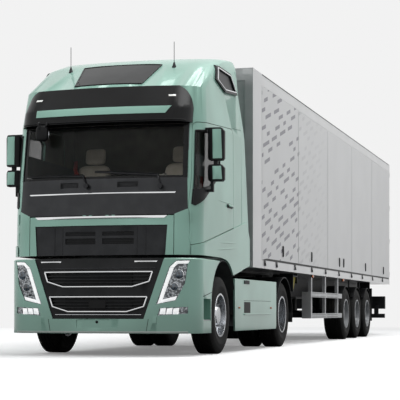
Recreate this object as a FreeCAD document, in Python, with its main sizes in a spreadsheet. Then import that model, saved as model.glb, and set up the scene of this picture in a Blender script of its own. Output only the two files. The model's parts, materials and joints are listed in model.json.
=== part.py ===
"""Articulated lorry: a two-axle cab-over tractor and a three-axle box semi-trailer.

Millimetres, +Z up, front of the vehicle towards -Y, its left side towards +X.  Inside this
file every station along the vehicle is measured backwards from the front of the bumper; the
finished sub-parts are then moved forward by half the overall length, so that the origin lies
on the ground in the middle of the vehicle.
"""
import FreeCAD, Part
import math
import os
import Sketcher

V = FreeCAD.Vector
doc = FreeCAD.newDocument("ArticulatedLorry")

# Driving dimensions. Stations (names in _y) run backwards from the bumper's front face.
SIZES = {
    # whole vehicle
    "trailer_length": 13543,
    "overall_height": 4000,
    "trailer_width": 2550,
    "trailer_front_y": 2900,
    "kingpin_setback": 1600,
    "fit_gap": 0.5,
    "seat_gap": 0.3,
    "seam_gap": 8,
    # wheels and axles
    "front_axle_y": 1380,
    "wheelbase": 3700,
    "tyre_radius": 505,
    "rim_radius": 286,
    "tractor_tyre_width": 312,
    "trailer_tyre_width": 385,
    "wheel_outer_x": 1222,
    "trailer_wheel_outer_x": 1240,
    "twin_gap": 38,
    "kingpin_x": 880,
    "kingpin_pin_radius": 22,
    "steer_arm": 300,
    "spindle_radius": 42,
    "drive_spindle_radius": 60,
    "axle_tube_radius": 66,
    "trailer_axle_pitch": 1310,
    "trailer_group_setback": 4343,
    # tractor chassis
    "rail_half_gap": 345,
    "rail_flange": 80,
    "rail_web": 8,
    "rail_bottom": 680,
    "rail_height": 270,
    "rail_front_y": 420,
    "rail_rear_y": 5950,
    "bracket_plate": 20,
    "tilt_pivot_y": 200,
    "tilt_pivot_z": 860,
    "tilt_pin_radius": 22,
    "tilt_arm_width": 50,
    "tow_bore_radius": 20,
    "coupling_top": 1150,
    "coupling_plate": 60,
    "coupling_radius": 470,
    "coupling_pin_radius": 25,
    # front end on the chassis
    "bumper_proud": 14,
    "bumper_bottom": 284,
    "bumper_seam": 40,
    "underrun_front_y": 125,
    "bumper_chamfer": 12,
    "bumper_wall": 32,
    "front_bow": 85,
    "corner_in": 295,
    "corner_back": 335,
    "arch_centre_y": 1400,
    "arch_centre_z": 600,
    "arch_radius": 640,
    # cab
    "cab_half_width": 1245,
    "cab_bottom": 1252,
    "cab_rear_y": 2380,
    "cab_wall": 45,
    "cab_floor_rise": 88,
    "cab_floor_plate": 40,
    "door_front_y": 240,
    "door_rear_y": 1930,
    "door_sill": 128,
    "door_sill_rise": 300,
    "door_head": 80,
    "door_gap": 8,
    "door_hinge_radius": 8,
    "door_hinge_inset": 110,
    "hatch_hinge_radius": 7,
    "hatch_half_width": 948,
    "hatch_height": 486,
    "cowl_height": 468,
    "screen_height": 674,
    "brow_rise": 490,
    "roof_rise": 610,
    "glass": 6,
    "glass_inset": 14,
    # trailer
    "trailer_floor_bottom": 1180,
    "side_rail": 120,
    "top_rail": 170,
    "front_wall": 60,
    "side_panel": 25,
    "post_depth": 35,
    "panel_front_y": 3450,
    "door_leaf": 60,
    "rear_hinge_offset": 45,
    "rear_hinge_x": 1262,
    "rear_hinge_radius": 12,
    "rear_hinge_pin": 6,
    "beam_half_gap": 470,
    "beam_width": 120,
    "beam_bottom": 830,
    "beam_front_y": 6350,
}


class Dim(float):
    """A length that also remembers the sheet expression it comes from."""

    def __new__(cls, value, text):
        dim = super().__new__(cls, value)
        dim.text = text
        return dim

    def __add__(self, other):
        return Dim(float(self) + float(other), "(%s + %s)" % (self.text, text_of(other)))

    def __radd__(self, other):
        return Dim(float(other) + float(self), "(%s + %s)" % (text_of(other), self.text))

    def __sub__(self, other):
        return Dim(float(self) - float(other), "(%s - %s)" % (self.text, text_of(other)))

    def __rsub__(self, other):
        return Dim(float(other) - float(self), "(%s - %s)" % (text_of(other), self.text))

    def __mul__(self, other):
        return Dim(float(self) * float(other), "(%s * %s)" % (self.text, text_of(other)))

    def __rmul__(self, other):
        return Dim(float(other) * float(self), "(%s * %s)" % (text_of(other), self.text))

    def __truediv__(self, other):
        return Dim(float(self) / float(other), "(%s / %s)" % (self.text, text_of(other)))

    def __neg__(self):
        return Dim(-float(self), "(0 - %s)" % self.text)


def text_of(value):
    """The expression text of a Dim, or of a plain number."""
    if isinstance(value, Dim):
        return value.text
    return "(%s)" % repr(float(value))


class Sizes:
    """The driving dimensions, each one a row of the sheet and a Dim here."""


sheet = doc.addObject("Spreadsheet::Sheet", "Sizes")
S = Sizes()
for row, (alias, value) in enumerate(SIZES.items(), start=1):
    sheet.set("A%d" % row, alias)
    sheet.set("B%d" % row, str(value))
    sheet.setAlias("B%d" % row, alias)
    setattr(S, alias, Dim(value, "Sizes.%s" % alias))
doc.recompute()

parts = {}


def bind(thing, prop, value):
    """Set one size of an object, tied to the sheet where the value comes from it."""
    if isinstance(value, Dim):
        thing.setExpression(prop, value.text)
    else:
        setattr(thing, prop, float(value))


def place(thing, x=0.0, y=0.0, z=0.0, rotation=None):
    """Place an object, with each coordinate tied to the sheet where it comes from it."""
    turn = rotation if rotation else FreeCAD.Rotation()
    thing.Placement = FreeCAD.Placement(V(float(x), float(y), float(z)), turn)
    for axis, value in (("x", x), ("y", y), ("z", z)):
        if isinstance(value, Dim):
            thing.setExpression("Placement.Base.%s" % axis, value.text)
    return thing


def box(name, x0, x1, y0, y1, z0, z1):
    """A block between two corners."""
    block = doc.addObject("Part::Box", name)
    bind(block, "Length", x1 - x0)
    bind(block, "Width", y1 - y0)
    bind(block, "Height", z1 - z0)
    return place(block, x0, y0, z0)


ALONG = {
    "x": FreeCAD.Rotation(V(0, 1, 0), 90),
    "y": FreeCAD.Rotation(V(1, 0, 0), -90),
    "z": FreeCAD.Rotation(),
}


def rod(name, along, x, y, z, radius, length):
    """A round bar that starts at a point and runs along one axis."""
    bar = doc.addObject("Part::Cylinder", name)
    bind(bar, "Radius", radius)
    bind(bar, "Height", length)
    return place(bar, x, y, z, ALONG[along])


def fuse(name, pieces):
    """Join pieces into one."""
    joined = doc.addObject("Part::MultiFuse", name)
    joined.Shapes = pieces
    joined.Refine = True
    return joined


def cut(name, base, tools):
    """Take one or more tools from a piece."""
    tool = tools[0]
    if len(tools) > 1:
        tool = doc.addObject("Part::Compound", name + "_tools")
        tool.Links = tools
    result = doc.addObject("Part::Cut", name)
    result.Base = base
    result.Tool = tool
    result.Refine = True
    return result


def common(name, pieces):
    """What the pieces share."""
    shared = doc.addObject("Part::MultiCommon", name)
    shared.Shapes = pieces
    return shared


def group(name, pieces):
    """Like pieces that do not touch, kept as one sub-part."""
    together = doc.addObject("Part::Compound", name)
    together.Links = pieces
    return together


def mirrored(name, source):
    """The same piece on the other side of the vehicle."""
    twin = doc.addObject("Part::Mirroring", name)
    twin.Source = source
    twin.Normal = V(1, 0, 0)
    return twin


def pair(name, source):
    """A piece and its mirror image, as one sub-part of two solids."""
    return group(name, [source, mirrored(name + "_right", source)])


def hinge(name, along, x, y, z, radius, length):
    """A three-barrel hinge: fixed barrel, moving barrels, room in the moving and fixed piece."""
    step = {"x": (1, 0, 0), "z": (0, 0, 1)}[along]
    clear = S.fit_gap

    def barrel(part, start, size, r):
        spot = [v + start * k for v, k in zip((x, y, z), step)]
        return rod("%s_%s" % (name, part), along, spot[0], spot[1], spot[2], r, size)

    fixed = barrel("fixed", length * -0.5, length, radius)
    moving = [barrel("low", length * -1.5 - clear, length, radius),
              barrel("high", length * 0.5 + clear, length, radius)]
    wide = radius + 1
    room_moving = barrel("room_moving", length * -0.5 - clear, length + clear * 2, wide)
    room_fixed = [barrel("room_low", length * -1.5 - clear * 2, length + clear * 2, wide),
                  barrel("room_high", length * 0.5, length + clear * 2, wide)]
    return fixed, moving, room_moving, room_fixed


def draw(sketch, points):
    """Draw a closed outline; a third value in a point bows the run that follows it outwards."""
    count = len(points)
    spots = [V(float(p[0]), float(p[1]), 0) for p in points]
    runs = []
    for i in range(count):
        a = spots[i]
        b = spots[(i + 1) % count]
        if len(points[i]) > 2:
            rise = float(points[i][2])
            chord = b - a
            outward = V(chord.y, -chord.x, 0).normalize()
            middle = (a + b) * 0.5 + outward * rise
            runs.append(Part.Arc(a, middle, b) if rise > 0 else Part.Arc(b, middle, a))
        else:
            runs.append(Part.LineSegment(a, b))
    sketch.addGeometry(runs, False)
    ends = []
    for i in range(count):
        shape = sketch.Geometry[i]
        flipped = (shape.StartPoint - spots[i]).Length > 1e-6
        ends.append((2, 1) if flipped else (1, 2))
    for i in range(count):
        after = (i + 1) % count
        sketch.addConstraint(Sketcher.Constraint("Coincident", i, ends[i][1], after, ends[after][0]))
        for axis, value in (("DistanceX", points[i][0]), ("DistanceY", points[i][1])):
            rule = Sketcher.Constraint(axis, -1, 1, i, ends[i][0], float(value))
            number = sketch.addConstraint(rule)
            if isinstance(value, Dim):
                sketch.setExpression("Constraints[%d]" % number, value.text)
        if len(points[i]) > 2:
            rule = Sketcher.Constraint("Radius", i, sketch.Geometry[i].Radius)
            sketch.addConstraint(rule)
    return sketch


VIEW_TURN = {
    "side": FreeCAD.Rotation(V(1, 1, 1), 120),
    "front": FreeCAD.Rotation(V(1, 0, 0), 90),
    "plan": FreeCAD.Rotation(),
}


def outline(name, view, points, at=0.0):
    """An outline drawn in side view (Y, Z), front view (X, Z) or plan (X, Y)."""
    sketch = doc.addObject("Sketcher::SketchObject", name)
    shift = {"side": (at, 0.0, 0.0), "front": (0.0, at, 0.0), "plan": (0.0, 0.0, at)}[view]
    place(sketch, shift[0], shift[1], shift[2], VIEW_TURN[view])
    return draw(sketch, points)


def slab(name, view, points, start, end):
    """An outline carried straight from one station to another, across its own view."""
    sketch = outline(name + "_outline", view, points, start)
    solid = doc.addObject("Part::Extrusion", name)
    solid.Base = sketch
    solid.DirMode = "Normal"
    solid.Solid = True
    solid.Reversed = view == "front"
    bind(solid, "LengthFwd", end - start)
    return solid


def turned(name, points, x, y, z):
    """A PartDesign body turned about an axis along X from a profile of (offset, radius)."""
    body = doc.addObject("PartDesign::Body", name)
    plane = [f for f in body.Origin.OriginFeatures if f.Role == "XY_Plane"][0]
    sketch = body.newObject("Sketcher::SketchObject", name + "_profile")
    sketch.AttachmentSupport = [(plane, "")]
    sketch.MapMode = "FlatFace"
    draw(sketch, points)
    turn = body.newObject("PartDesign::Revolution", name + "_turn")
    turn.Profile = sketch
    turn.ReferenceAxis = (sketch, ["H_Axis"])
    turn.Angle = 360
    place(body, x, y, z)
    return body


def shifted(obj):
    """Move a finished sub-part forward by half the vehicle's length."""
    base = obj.Placement.Base
    along = overall_length * -0.5
    if base.y or ("Placement.Base.y" in [e[0].lstrip(".") for e in obj.ExpressionEngine]):
        known = [e[1] for e in obj.ExpressionEngine if e[0].lstrip(".") == "Placement.Base.y"]
        start = Dim(base.y, known[0] if known else repr(base.y))
        along = start + along
    obj.setExpression("Placement.Base.y", along.text)
    return obj


def keep(label, obj, moved=False):
    """Name a finished sub-part and move it into the vehicle's own frame."""
    if not moved:
        shifted(obj)
    obj.Label = label
    parts[label] = obj
    return obj


def keep_pair(label, obj):
    """Keep a left-hand sub-part and its mirror image on the right."""
    keep(label + "_left", obj)
    keep(label + "_right", mirrored(label + "_mirror", obj), moved=True)


# Stations that several pieces share.
trailer_rear_y = S.trailer_front_y + S.trailer_length
overall_length = trailer_rear_y + S.rear_hinge_offset + S.rear_hinge_radius
trailer_group_y = trailer_rear_y - S.trailer_group_setback
drive_axle_y = S.front_axle_y + S.wheelbase
kingpin_y = S.trailer_front_y + S.kingpin_setback
rail_top = S.rail_bottom + S.rail_height
rail_outer = S.rail_half_gap + S.rail_flange
seam = S.seam_gap
trailer_half = S.trailer_width / 2
bumper_half = S.cab_half_width + S.bumper_proud
bumper_top = S.cab_bottom - S.bumper_seam
cab_floor = S.cab_bottom + S.cab_floor_rise
hatch_top = S.cab_bottom + S.hatch_height
cowl_top = hatch_top + S.cowl_height
screen_top = cowl_top + S.screen_height
brow_z = screen_top + S.brow_rise
roof_top = brow_z + S.roof_rise
door_bottom = S.cab_bottom + S.door_sill
door_top = screen_top + S.door_head


# Tractor frame: two channel rails, their cross members and the catwalk behind the cab.
def channel(side):
    """One channel rail, open towards the middle of the vehicle."""
    outer = rail_outer * side
    inner = S.rail_half_gap * side
    web = (rail_outer - S.rail_web) * side
    low = S.rail_bottom
    points = [(inner, low), (outer, low), (outer, rail_top), (inner, rail_top),
              (inner, rail_top - S.rail_web), (web, rail_top - S.rail_web),
              (web, low + S.rail_web), (inner, low + S.rail_web)]
    if side < 0:
        points.reverse()
    return slab("rail_%d" % side, "front", points, S.rail_front_y, S.rail_rear_y)


frame_bits = [channel(1), channel(-1)]
for number, (start, depth, low, high) in enumerate((
        (2760, 70, 720, 910), (3560, 70, 720, 910), (4300, 70, 760, 910),
        (5560, 70, 720, 910), (5880, 70, 700, 930))):
    half = rail_outer - S.rail_web
    frame_bits.append(box("cross_%d" % number, -half, half, start, start + depth, low, high))
frame_bits.append(box("walk_plate", -rail_outer, rail_outer, 2560, kingpin_y - 420, rail_top,
                      rail_top + 22))
frame_bits.append(box("air_stand", -260, 260, 2600, 2640, rail_top + 10, rail_top + 170))
keep("tractor_frame", fuse("tractor_frame_fuse", frame_bits))

# Front brackets, bolted to the rails: the cab's tilt pivots, a cross tube and the underrun beam
# with its towing bore.
plate_out = rail_outer + S.bracket_plate
bracket_bits = [
    box("front_cross", -rail_outer - 5, rail_outer + 5, 430, 500, 590, S.rail_bottom - S.seat_gap),
    box("underrun_beam", -940, 940, S.underrun_front_y, 215, 400, 500),
]
pivot_y, pivot_z = S.tilt_pivot_y, S.tilt_pivot_z
plate_points = [(150, 420), (250, 400), (620, 660), (620, rail_top), (430, rail_top),
                (pivot_y - 42, pivot_z + 42), (pivot_y - 42, pivot_z - 42), (330, 700),
                (300, 600), (150, 500)]
for side in (1, -1):
    start = rail_outer + S.seat_gap if side > 0 else -plate_out
    end = plate_out if side > 0 else -rail_outer - S.seat_gap
    bracket_bits.append(slab("tilt_plate_%d" % side, "side", plate_points, start, end))
    pin_start = rail_outer + 5 if side > 0 else -plate_out - S.tilt_arm_width - 12
    pin_length = S.bracket_plate + S.tilt_arm_width + 7
    bracket_bits.append(rod("tilt_pin_%d" % side, "x", pin_start, pivot_y, pivot_z,
                            S.tilt_pin_radius, pin_length))
tow_bore = rod("tow_bore", "z", 0, S.underrun_front_y + 45, 380, S.tow_bore_radius, 160)
keep("front_brackets", cut("front_brackets_cut", fuse("front_brackets_fuse", bracket_bits),
                           [tow_bore]))

# Engine, gearbox and radiator, plain, between the rails and below the cab floor.
engine = [
    box("engine_core", -S.rail_half_gap, S.rail_half_gap, 650, 1700, 560,
        cab_floor - S.cab_floor_plate - 65),
    box("gearbox", -230, 230, 1680, 2650, 480, 900),
    box("fan_cowl", -330, 330, 400, 660, 700, 1180),
    box("radiator", -400, 400, 320, 410, 700, 1190),
]
keep("engine_block", fuse("engine_fuse", engine))

# Front axle: forged beam with an eye at each end, two leaf springs and their hangers.
beam_half = S.kingpin_x - 50
beam_points = [(-beam_half, 445), (-700, 380), (700, 380), (beam_half, 445), (beam_half, 565),
               (640, 470), (-640, 470), (-beam_half, 565)]
axle_bits = [slab("front_beam", "front", beam_points, S.front_axle_y - 50, S.front_axle_y + 50)]
spring_half = 690
spring_drop = 165
spring_thick = 42
spring_top = 636
for side in (1, -1):
    low = 375 if side > 0 else -465
    y0 = S.front_axle_y - spring_half
    y1 = S.front_axle_y + spring_half
    leaf = slab("leaf_%d" % side, "side",
                [(y0, spring_top - spring_thick, spring_drop), (y1, spring_top - spring_thick),
                 (y1, spring_top, -spring_drop), (y0, spring_top)], low, low + 90)
    axle_bits.append(leaf)
    for end, name in ((y0, "front"), (y1 - 70, "rear")):
        axle_bits.append(box("spring_hanger_%s_%d" % (name, side), low, low + 90, end, end + 70,
                             spring_top - 30, S.rail_bottom))
    axle_bits.append(box("spring_seat_%d" % side, low, low + 90, S.front_axle_y - 60,
                         S.front_axle_y + 60, 460, 480))
    axle_bits.append(rod("kingpin_eye_%d" % side, "z", S.kingpin_x * side, S.front_axle_y, 440,
                         55, 130))
pin_bores = [rod("kingpin_bore_%d" % side, "z", S.kingpin_x * side, S.front_axle_y, 400,
                 S.kingpin_pin_radius + S.fit_gap, 220) for side in (1, -1)]
keep("front_axle", cut("front_axle_cut", fuse("front_axle_fuse", axle_bits), pin_bores))


# Steering knuckles: a fork round the beam's eye, its pin, a stub axle and a steering arm that
# points straight back, so that the track rod moves as one side of a parallelogram.
arm_eye_radius = 24


def knuckle():
    """The left steering knuckle."""
    x, y = S.kingpin_x, S.front_axle_y
    gap = S.fit_gap
    bits = [
        rod("fork_top", "z", x, y, 570 + gap, 58, 36),
        rod("fork_low", "z", x, y, 402 - gap, 58, 38),
        box("fork_back", x + 58, x + 96, y - 52, y + 52, 402 - gap, 606 + gap),
        box("fork_top_web", x, x + 60, y - 52, y + 52, 570 + gap, 606 + gap),
        box("fork_low_web", x, x + 60, y - 52, y + 52, 402 - gap, 440 - gap),
        rod("steer_pin", "z", x, y, 402, S.kingpin_pin_radius, 200),
        rod("stub", "x", x + 90, y, S.tyre_radius, S.spindle_radius, 145),
        slab("arm", "plan", [(x + 26, y), (x + 26, y + 60), (x + 20, y + S.steer_arm),
                             (x - 20, y + S.steer_arm), (x - 8, y + 52)], 402 - gap, 440 - gap),
        rod("arm_eye", "z", x, y + S.steer_arm, 402 - gap, arm_eye_radius, 38),
    ]
    ball_bore = rod("arm_bore", "z", x, y + S.steer_arm, 390, 12 + gap, 60)
    return cut("knuckle_cut", fuse("knuckle_fuse", bits), [ball_bore])


keep_pair("knuckle", knuckle())

# Track rod: the bar that links the two steering arms behind the beam.
rod_y = S.front_axle_y + S.steer_arm
rod_x = S.kingpin_x
rod_low = 352
rod_bits = [rod("track_bar", "x", -rod_x, rod_y, rod_low + 22, 20, rod_x * 2)]
for side in (1, -1):
    rod_bits.append(rod("track_eye_%d" % side, "z", rod_x * side, rod_y, rod_low,
                        arm_eye_radius, 48))
    rod_bits.append(rod("track_ball_%d" % side, "z", rod_x * side, rod_y, rod_low + 40, 12, 46))
keep("track_rod", fuse("track_rod_fuse", rod_bits))

# Drive axle: tube, differential, brake drums, trailing arms on air bellows, propeller shaft.
twin_width = S.tractor_tyre_width * 2 + S.twin_gap
twin_inner_x = S.wheel_outer_x - twin_width
tube_end = twin_inner_x + 200
drive_bits = [
    rod("drive_tube", "x", -tube_end, drive_axle_y, S.tyre_radius, S.axle_tube_radius + 9,
        tube_end * 2),
    rod("drive_spindle", "x", -tube_end - 180, drive_axle_y, S.tyre_radius,
        S.drive_spindle_radius, tube_end * 2 + 360),
    rod("differential", "y", 0, drive_axle_y - 190, S.tyre_radius + 20, 200, 360),
    rod("propeller_shaft", "y", 0, 2650, 600, 52, drive_axle_y - 2650 - 150),
]
for side in (1, -1):
    x = 345 if side > 0 else -425
    drive_bits.append(box("drive_arm_%d" % side, x, x + 80, drive_axle_y - 430,
                          drive_axle_y + 430, 520, 575))
    for end, name in ((-350, "front"), (350, "rear")):
        drive_bits.append(rod("bellows_%s_%d" % (name, side), "z", x + 40, drive_axle_y + end,
                              570, 110, S.rail_bottom - 570))
keep("drive_axle", fuse("drive_axle_fuse", drive_bits))

# Fifth wheel: mounting plate, two pedestals and the slotted round plate.
plate_top = S.coupling_top
plate_low = plate_top - S.coupling_plate
slot_points = [(-40, kingpin_y), (-170, kingpin_y + S.coupling_radius + 20),
               (170, kingpin_y + S.coupling_radius + 20), (40, kingpin_y)]
slot_points.reverse()
coupling = fuse("coupling_fuse", [
    box("coupling_base", -rail_outer, rail_outer, kingpin_y - 330, kingpin_y + 330, rail_top,
        rail_top + 16),
    box("pedestal_left", 300, 400, kingpin_y - 110, kingpin_y + 110, rail_top + 10, plate_low + 10),
    box("pedestal_right", -400, -300, kingpin_y - 110, kingpin_y + 110, rail_top + 10,
        plate_low + 10),
    rod("coupling_disc", "z", 0, kingpin_y, plate_low, S.coupling_radius, S.coupling_plate),
])
coupling_tools = [
    rod("coupling_bore", "z", 0, kingpin_y, plate_low - 10, S.coupling_pin_radius + 2,
        S.coupling_plate + 20),
    slab("coupling_slot", "plan", slot_points, plate_low - 10, plate_top + 10),
]
keep("fifth_wheel", cut("fifth_wheel_cut", coupling, coupling_tools))


# Fuel tanks: one each side, hung from the rails by two brackets.
skirt_outer_x = bumper_half - 5
skirt_inner_x = skirt_outer_x - 25
tank_outer_x = skirt_inner_x - 35


def tank():
    """The left tank with its brackets."""
    x0, x1 = 520, tank_outer_x
    z0, z1 = 350, 900
    edge = 90
    points = [(x0 + edge, z0), (x1 - edge, z0, 26), (x1, z0 + edge), (x1, z1 - edge, 26),
              (x1 - edge, z1), (x0 + edge, z1, 26), (x0, z1 - edge), (x0, z0 + edge, 26)]
    drum = slab("tank_drum", "front", points, 2420, 4080)
    bits = [drum]
    for number, y in enumerate((2650, 3750)):
        bits.append(box("tank_bracket_%d" % number, rail_outer, x0 + 30, y, y + 90, 420,
                        rail_top - 30))
    return fuse("tank_fuse", bits)


keep("fuel_tanks", pair("fuel_tanks_pair", tank()))


# Side skirts: painted panels between the axles, each on three brackets from the tank.
def skirt():
    """The left side skirt."""
    x0, x1 = skirt_inner_x, skirt_outer_x
    front, rear = 1965, 4480
    points = [(front + 15, 290), (rear - 30, 290), (rear, 330), (rear, 1000), (front, 1000)]
    bits = [slab("skirt_panel", "side", points, x0, x1)]
    for number, y in enumerate((2500, 3200, 3950)):
        bits.append(box("skirt_bracket_%d" % number, tank_outer_x, x0 + 5, y, y + 60, 500, 800))
    return fuse("skirt_fuse", bits)


keep("side_skirts", pair("side_skirts_pair", skirt()))


# Rear mudguards: a flat-topped arch over each pair of drive wheels.
def mudguard():
    """The left rear mudguard with its bracket to the rail."""
    outer = 585
    inner = 572
    y, z = drive_axle_y, S.tyre_radius
    x0, x1 = twin_inner_x - 20, bumper_half - 10
    low = 30
    ring = cut("guard_ring", rod("guard_outer", "x", x0, y, z, outer, x1 - x0),
               [rod("guard_inner", "x", x0 - 5, y, z, inner, x1 - x0 + 10)])
    lower = box("guard_lower", x0 - 10, x1 + 10, y - 700, y + 700, z - 700, z + low)
    tail = box("guard_tail", x0, x1, y + inner, y + outer, 380, z + low + 5)
    arm = box("guard_arm", rail_outer, x0 + 12, y - 40, y + 40, rail_top - 60, rail_top)
    arm_end = box("guard_arm_end", x0 - 40, x0 + 12, y - 40, y + 40, rail_top - 60, z + outer - 2)
    return fuse("mudguard_fuse", [cut("guard_arch", ring, [lower]), tail, arm, arm_end])


keep("rear_mudguards", pair("rear_mudguards_pair", mudguard()))


def plan_points(half, front, inset, rear, bow=None, corner_in=None, corner_back=None):
    """Plan outline of the nose: a bowed front, rounded corners and straight sides."""
    bow = S.front_bow if bow is None else bow
    corner_in = S.corner_in if corner_in is None else corner_in
    corner_back = S.corner_back if corner_back is None else corner_back
    x1 = half - corner_in
    y1 = front + bow + inset
    y2 = front + bow + corner_back
    side = half - inset
    round_rise = 0.182 * math.hypot(side - x1, y2 - y1)
    return [(-x1, y1, bow), (x1, y1, round_rise), (side, y2), (side, rear), (-side, rear),
            (-side, y2, round_rise)]


# Front bumper: one moulding with the corner steps and the front part of the wheel arches.
shell_rear = 1300
chamfer = S.bumper_chamfer
bumper_low = slab("bumper_outer", "plan", plan_points(bumper_half, 0, 0, shell_rear),
                  S.bumper_bottom, bumper_top - chamfer)
bumper_edge = doc.addObject("Part::Loft", "bumper_edge")
bumper_edge.Sections = [
    outline("bumper_edge_low", "plan", plan_points(bumper_half, 0, 0, shell_rear),
            bumper_top - chamfer),
    outline("bumper_edge_top", "plan", plan_points(bumper_half, 0, chamfer, shell_rear),
            bumper_top)]
bumper_edge.Solid = True
bumper_edge.Ruled = True
bumper_out = fuse("bumper_form", [bumper_low, bumper_edge])
bumper_in = slab("bumper_inner", "plan",
                 plan_points(bumper_half, 0, S.bumper_wall, shell_rear + 50),
                 S.bumper_bottom - 10, bumper_top + 10)
bumper_shell = cut("bumper_shell", bumper_out, [bumper_in])
arch_tool = rod("arch_tool", "x", -1400, S.arch_centre_y, S.arch_centre_z, S.arch_radius, 2800)
arch_low_tool = box("arch_low_tool", -1400, 1400, S.arch_centre_y - S.arch_radius, 2600, 0,
                    S.arch_centre_z)
grille_low = bumper_half - 659
grille_high = bumper_half - 406
grille_points = [(-grille_low, 470), (grille_low, 470), (grille_high, bumper_top),
                 (grille_high, bumper_top + 20), (-grille_high, bumper_top + 20),
                 (-grille_high, bumper_top)]
grille_tool = slab("grille_tool", "front", grille_points, -100, 300)
lamp_points = [(bumper_half - inboard, height) for inboard, height in (
    (508, 640), (265, 690), (160, 900), (130, 1140), (100, bumper_top - 26),
    (260, bumper_top - 32), (345, bumper_top - 112))]
fog_points = [(bumper_half - inboard, height) for inboard, height in (
    (490, 505), (130, 530), (130, 612), (460, 598))]


def corner_tool(name, points, clearance, inner=0.0):
    """A tool that follows a lamp's outline in front view, grown by a clearance."""
    mid_x = sum(float(p[0]) for p in points) / len(points)
    mid_z = sum(float(p[1]) for p in points) / len(points)
    grown = []
    for x, z in points:
        far = math.hypot(x - mid_x, z - mid_z)
        grown.append((x + float(x - mid_x) / far * clearance,
                      z + float(z - mid_z) / far * clearance))
    return slab(name, "front", grown, -100 + inner, 330)


tools = [arch_tool, arch_low_tool, grille_tool]
for name, points in (("lamp_hole", lamp_points), ("fog_hole", fog_points)):
    hole = corner_tool(name, points, 0.0)
    tools.append(hole)
    tools.append(mirrored(name + "_right", hole))
step_hole = box("step_hole", bumper_half - 95, bumper_half + 50, 405, 733, 440, 712)
step_pocket = cut("step_pocket", box("step_box", bumper_half - 110, bumper_half - 20, 390, 748,
                                     425, 727), [step_hole])
tools.append(step_hole)
tools.append(mirrored("step_hole_right", step_hole))
plate_hole = slab("plate_hole", "front", [(-270, 352), (270, 352), (270, 455), (-270, 455)],
                  -100, 300)
tools.append(cut("plate_tool", plate_hole, [
    slab("plate_floor", "plan", plan_points(bumper_half, 0, 8, shell_rear), 300, 500)]))
bumper_cut = cut("bumper_cut", bumper_shell, tools)
stays = [box("bumper_stay_%d" % side, 640 if side > 0 else -760, 760 if side > 0 else -640,
             45, S.underrun_front_y - S.seat_gap, 410, 490) for side in (1, -1)]
keep("front_bumper", fuse("front_bumper_fuse", [
    bumper_cut, step_pocket, mirrored("step_pocket_right", step_pocket)] + stays))


def nose_band(name, front, back, bottom, top):
    """A band that follows the bowed nose, between two depths."""
    half = bumper_half
    x1 = half - S.corner_in - 4
    bow = S.front_bow
    points = [(-x1, front + bow, bow), (x1, front + bow), (x1, back + bow, -bow), (-x1, back + bow)]
    return slab(name, "plan", points, bottom, top)


# Lower grille: a dark panel with two framed mouths, each crossed by three slats.
gap = S.fit_gap
edge_gap = gap * 2
grille_plate_points = [(edge_gap - grille_low, 470 + gap), (grille_low - edge_gap, 470 + gap),
                       (grille_high - edge_gap, bumper_top), (edge_gap - grille_high, bumper_top)]
grille_panel = common("grille_panel", [
    nose_band("grille_band", 14, 66, 440, bumper_top),
    slab("grille_shape", "front", grille_plate_points, -100, 300)])


def mouth_points(top, bottom, half, grow):
    """A wide six-sided mouth that narrows downwards, grown all round."""
    waist = bottom + (top - bottom) * 0.36
    return [(-half + 250 - grow / 2, bottom - grow), (half - 250 + grow / 2, bottom - grow),
            (half - 40 + grow, waist - grow / 2), (half + grow, top + grow),
            (-half - grow, top + grow), (-half + 40 - grow, waist - grow / 2)]


mouths = ((1034, 868, grille_high - 153), (725, 560, grille_high - 221))
mouth_tools = []
mouth_bits = []
for number, (top, bottom, half) in enumerate(mouths):
    tool = slab("mouth_%d" % number, "front", mouth_points(top, bottom, half, 0), -100, 300)
    mouth_tools.append(common("mouth_depth_%d" % number, [
        tool, nose_band("mouth_band_%d" % number, -20, 58, 440, bumper_top)]))
    rim = slab("mouth_rim_%d" % number, "front", mouth_points(top, bottom, half, 15), -100, 300)
    mouth_bits.append(cut("mouth_frame_%d" % number, common("mouth_frame_form_%d" % number, [
        rim, nose_band("mouth_frame_band_%d" % number, 4, 20, 440, bumper_top)]), [tool]))
    for step in range(3):
        low = bottom + (top - bottom) * 0.25 * (step + 1) - 8
        slat = nose_band("slat_%d_%d" % (number, step), 24, 62, low, low + 16)
        mouth_bits.append(common("slat_cut_%d_%d" % (number, step), [slat, slab(
            "slat_room_%d_%d" % (number, step), "front", mouth_points(top, bottom, half, 5),
            -100, 300)]))
keep("lower_grille", fuse("lower_grille_fuse", [
    cut("grille_open", grille_panel, mouth_tools)] + mouth_bits))

# Headlamps and fog lamps, set a little back in their openings.
lamp_ring = cut("lamp_ring", slab("lamp_outer", "plan",
                                  plan_points(bumper_half, 0, 8, 600), 450, 1216),
                [slab("lamp_inner", "plan", plan_points(bumper_half, 0, 58, 650), 440,
                      1220)])
lamp_solids = []
for name, points in (("headlamp", lamp_points), ("fog_lamp", fog_points)):
    shape = corner_tool(name + "_shape", points, -gap)
    lamp_solids.append(common(name, [lamp_ring, shape]))
lamps = [lamp_solids[0], lamp_solids[1], mirrored("headlamp_right", lamp_solids[0]),
         mirrored("fog_lamp_right", lamp_solids[1])]
keep("headlamps", group("headlamps_group", lamps))


# Cab: one lofted form from which the shell, doors, hatch, cowl and glass are all taken, so
# that their faces run on across every seam.
cab_sections = (
    (S.cab_bottom - 252, 0, 45), (hatch_top + 12, 0, 70), (cowl_top, 0, 120),
    (screen_top + 60, 8, 235), (brow_z, 45, 330), (brow_z + S.roof_rise * 0.63, 75, 980),
    (brow_z + S.roof_rise * 0.87, 95, 1450), (roof_top, 130, 1900),
)


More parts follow.
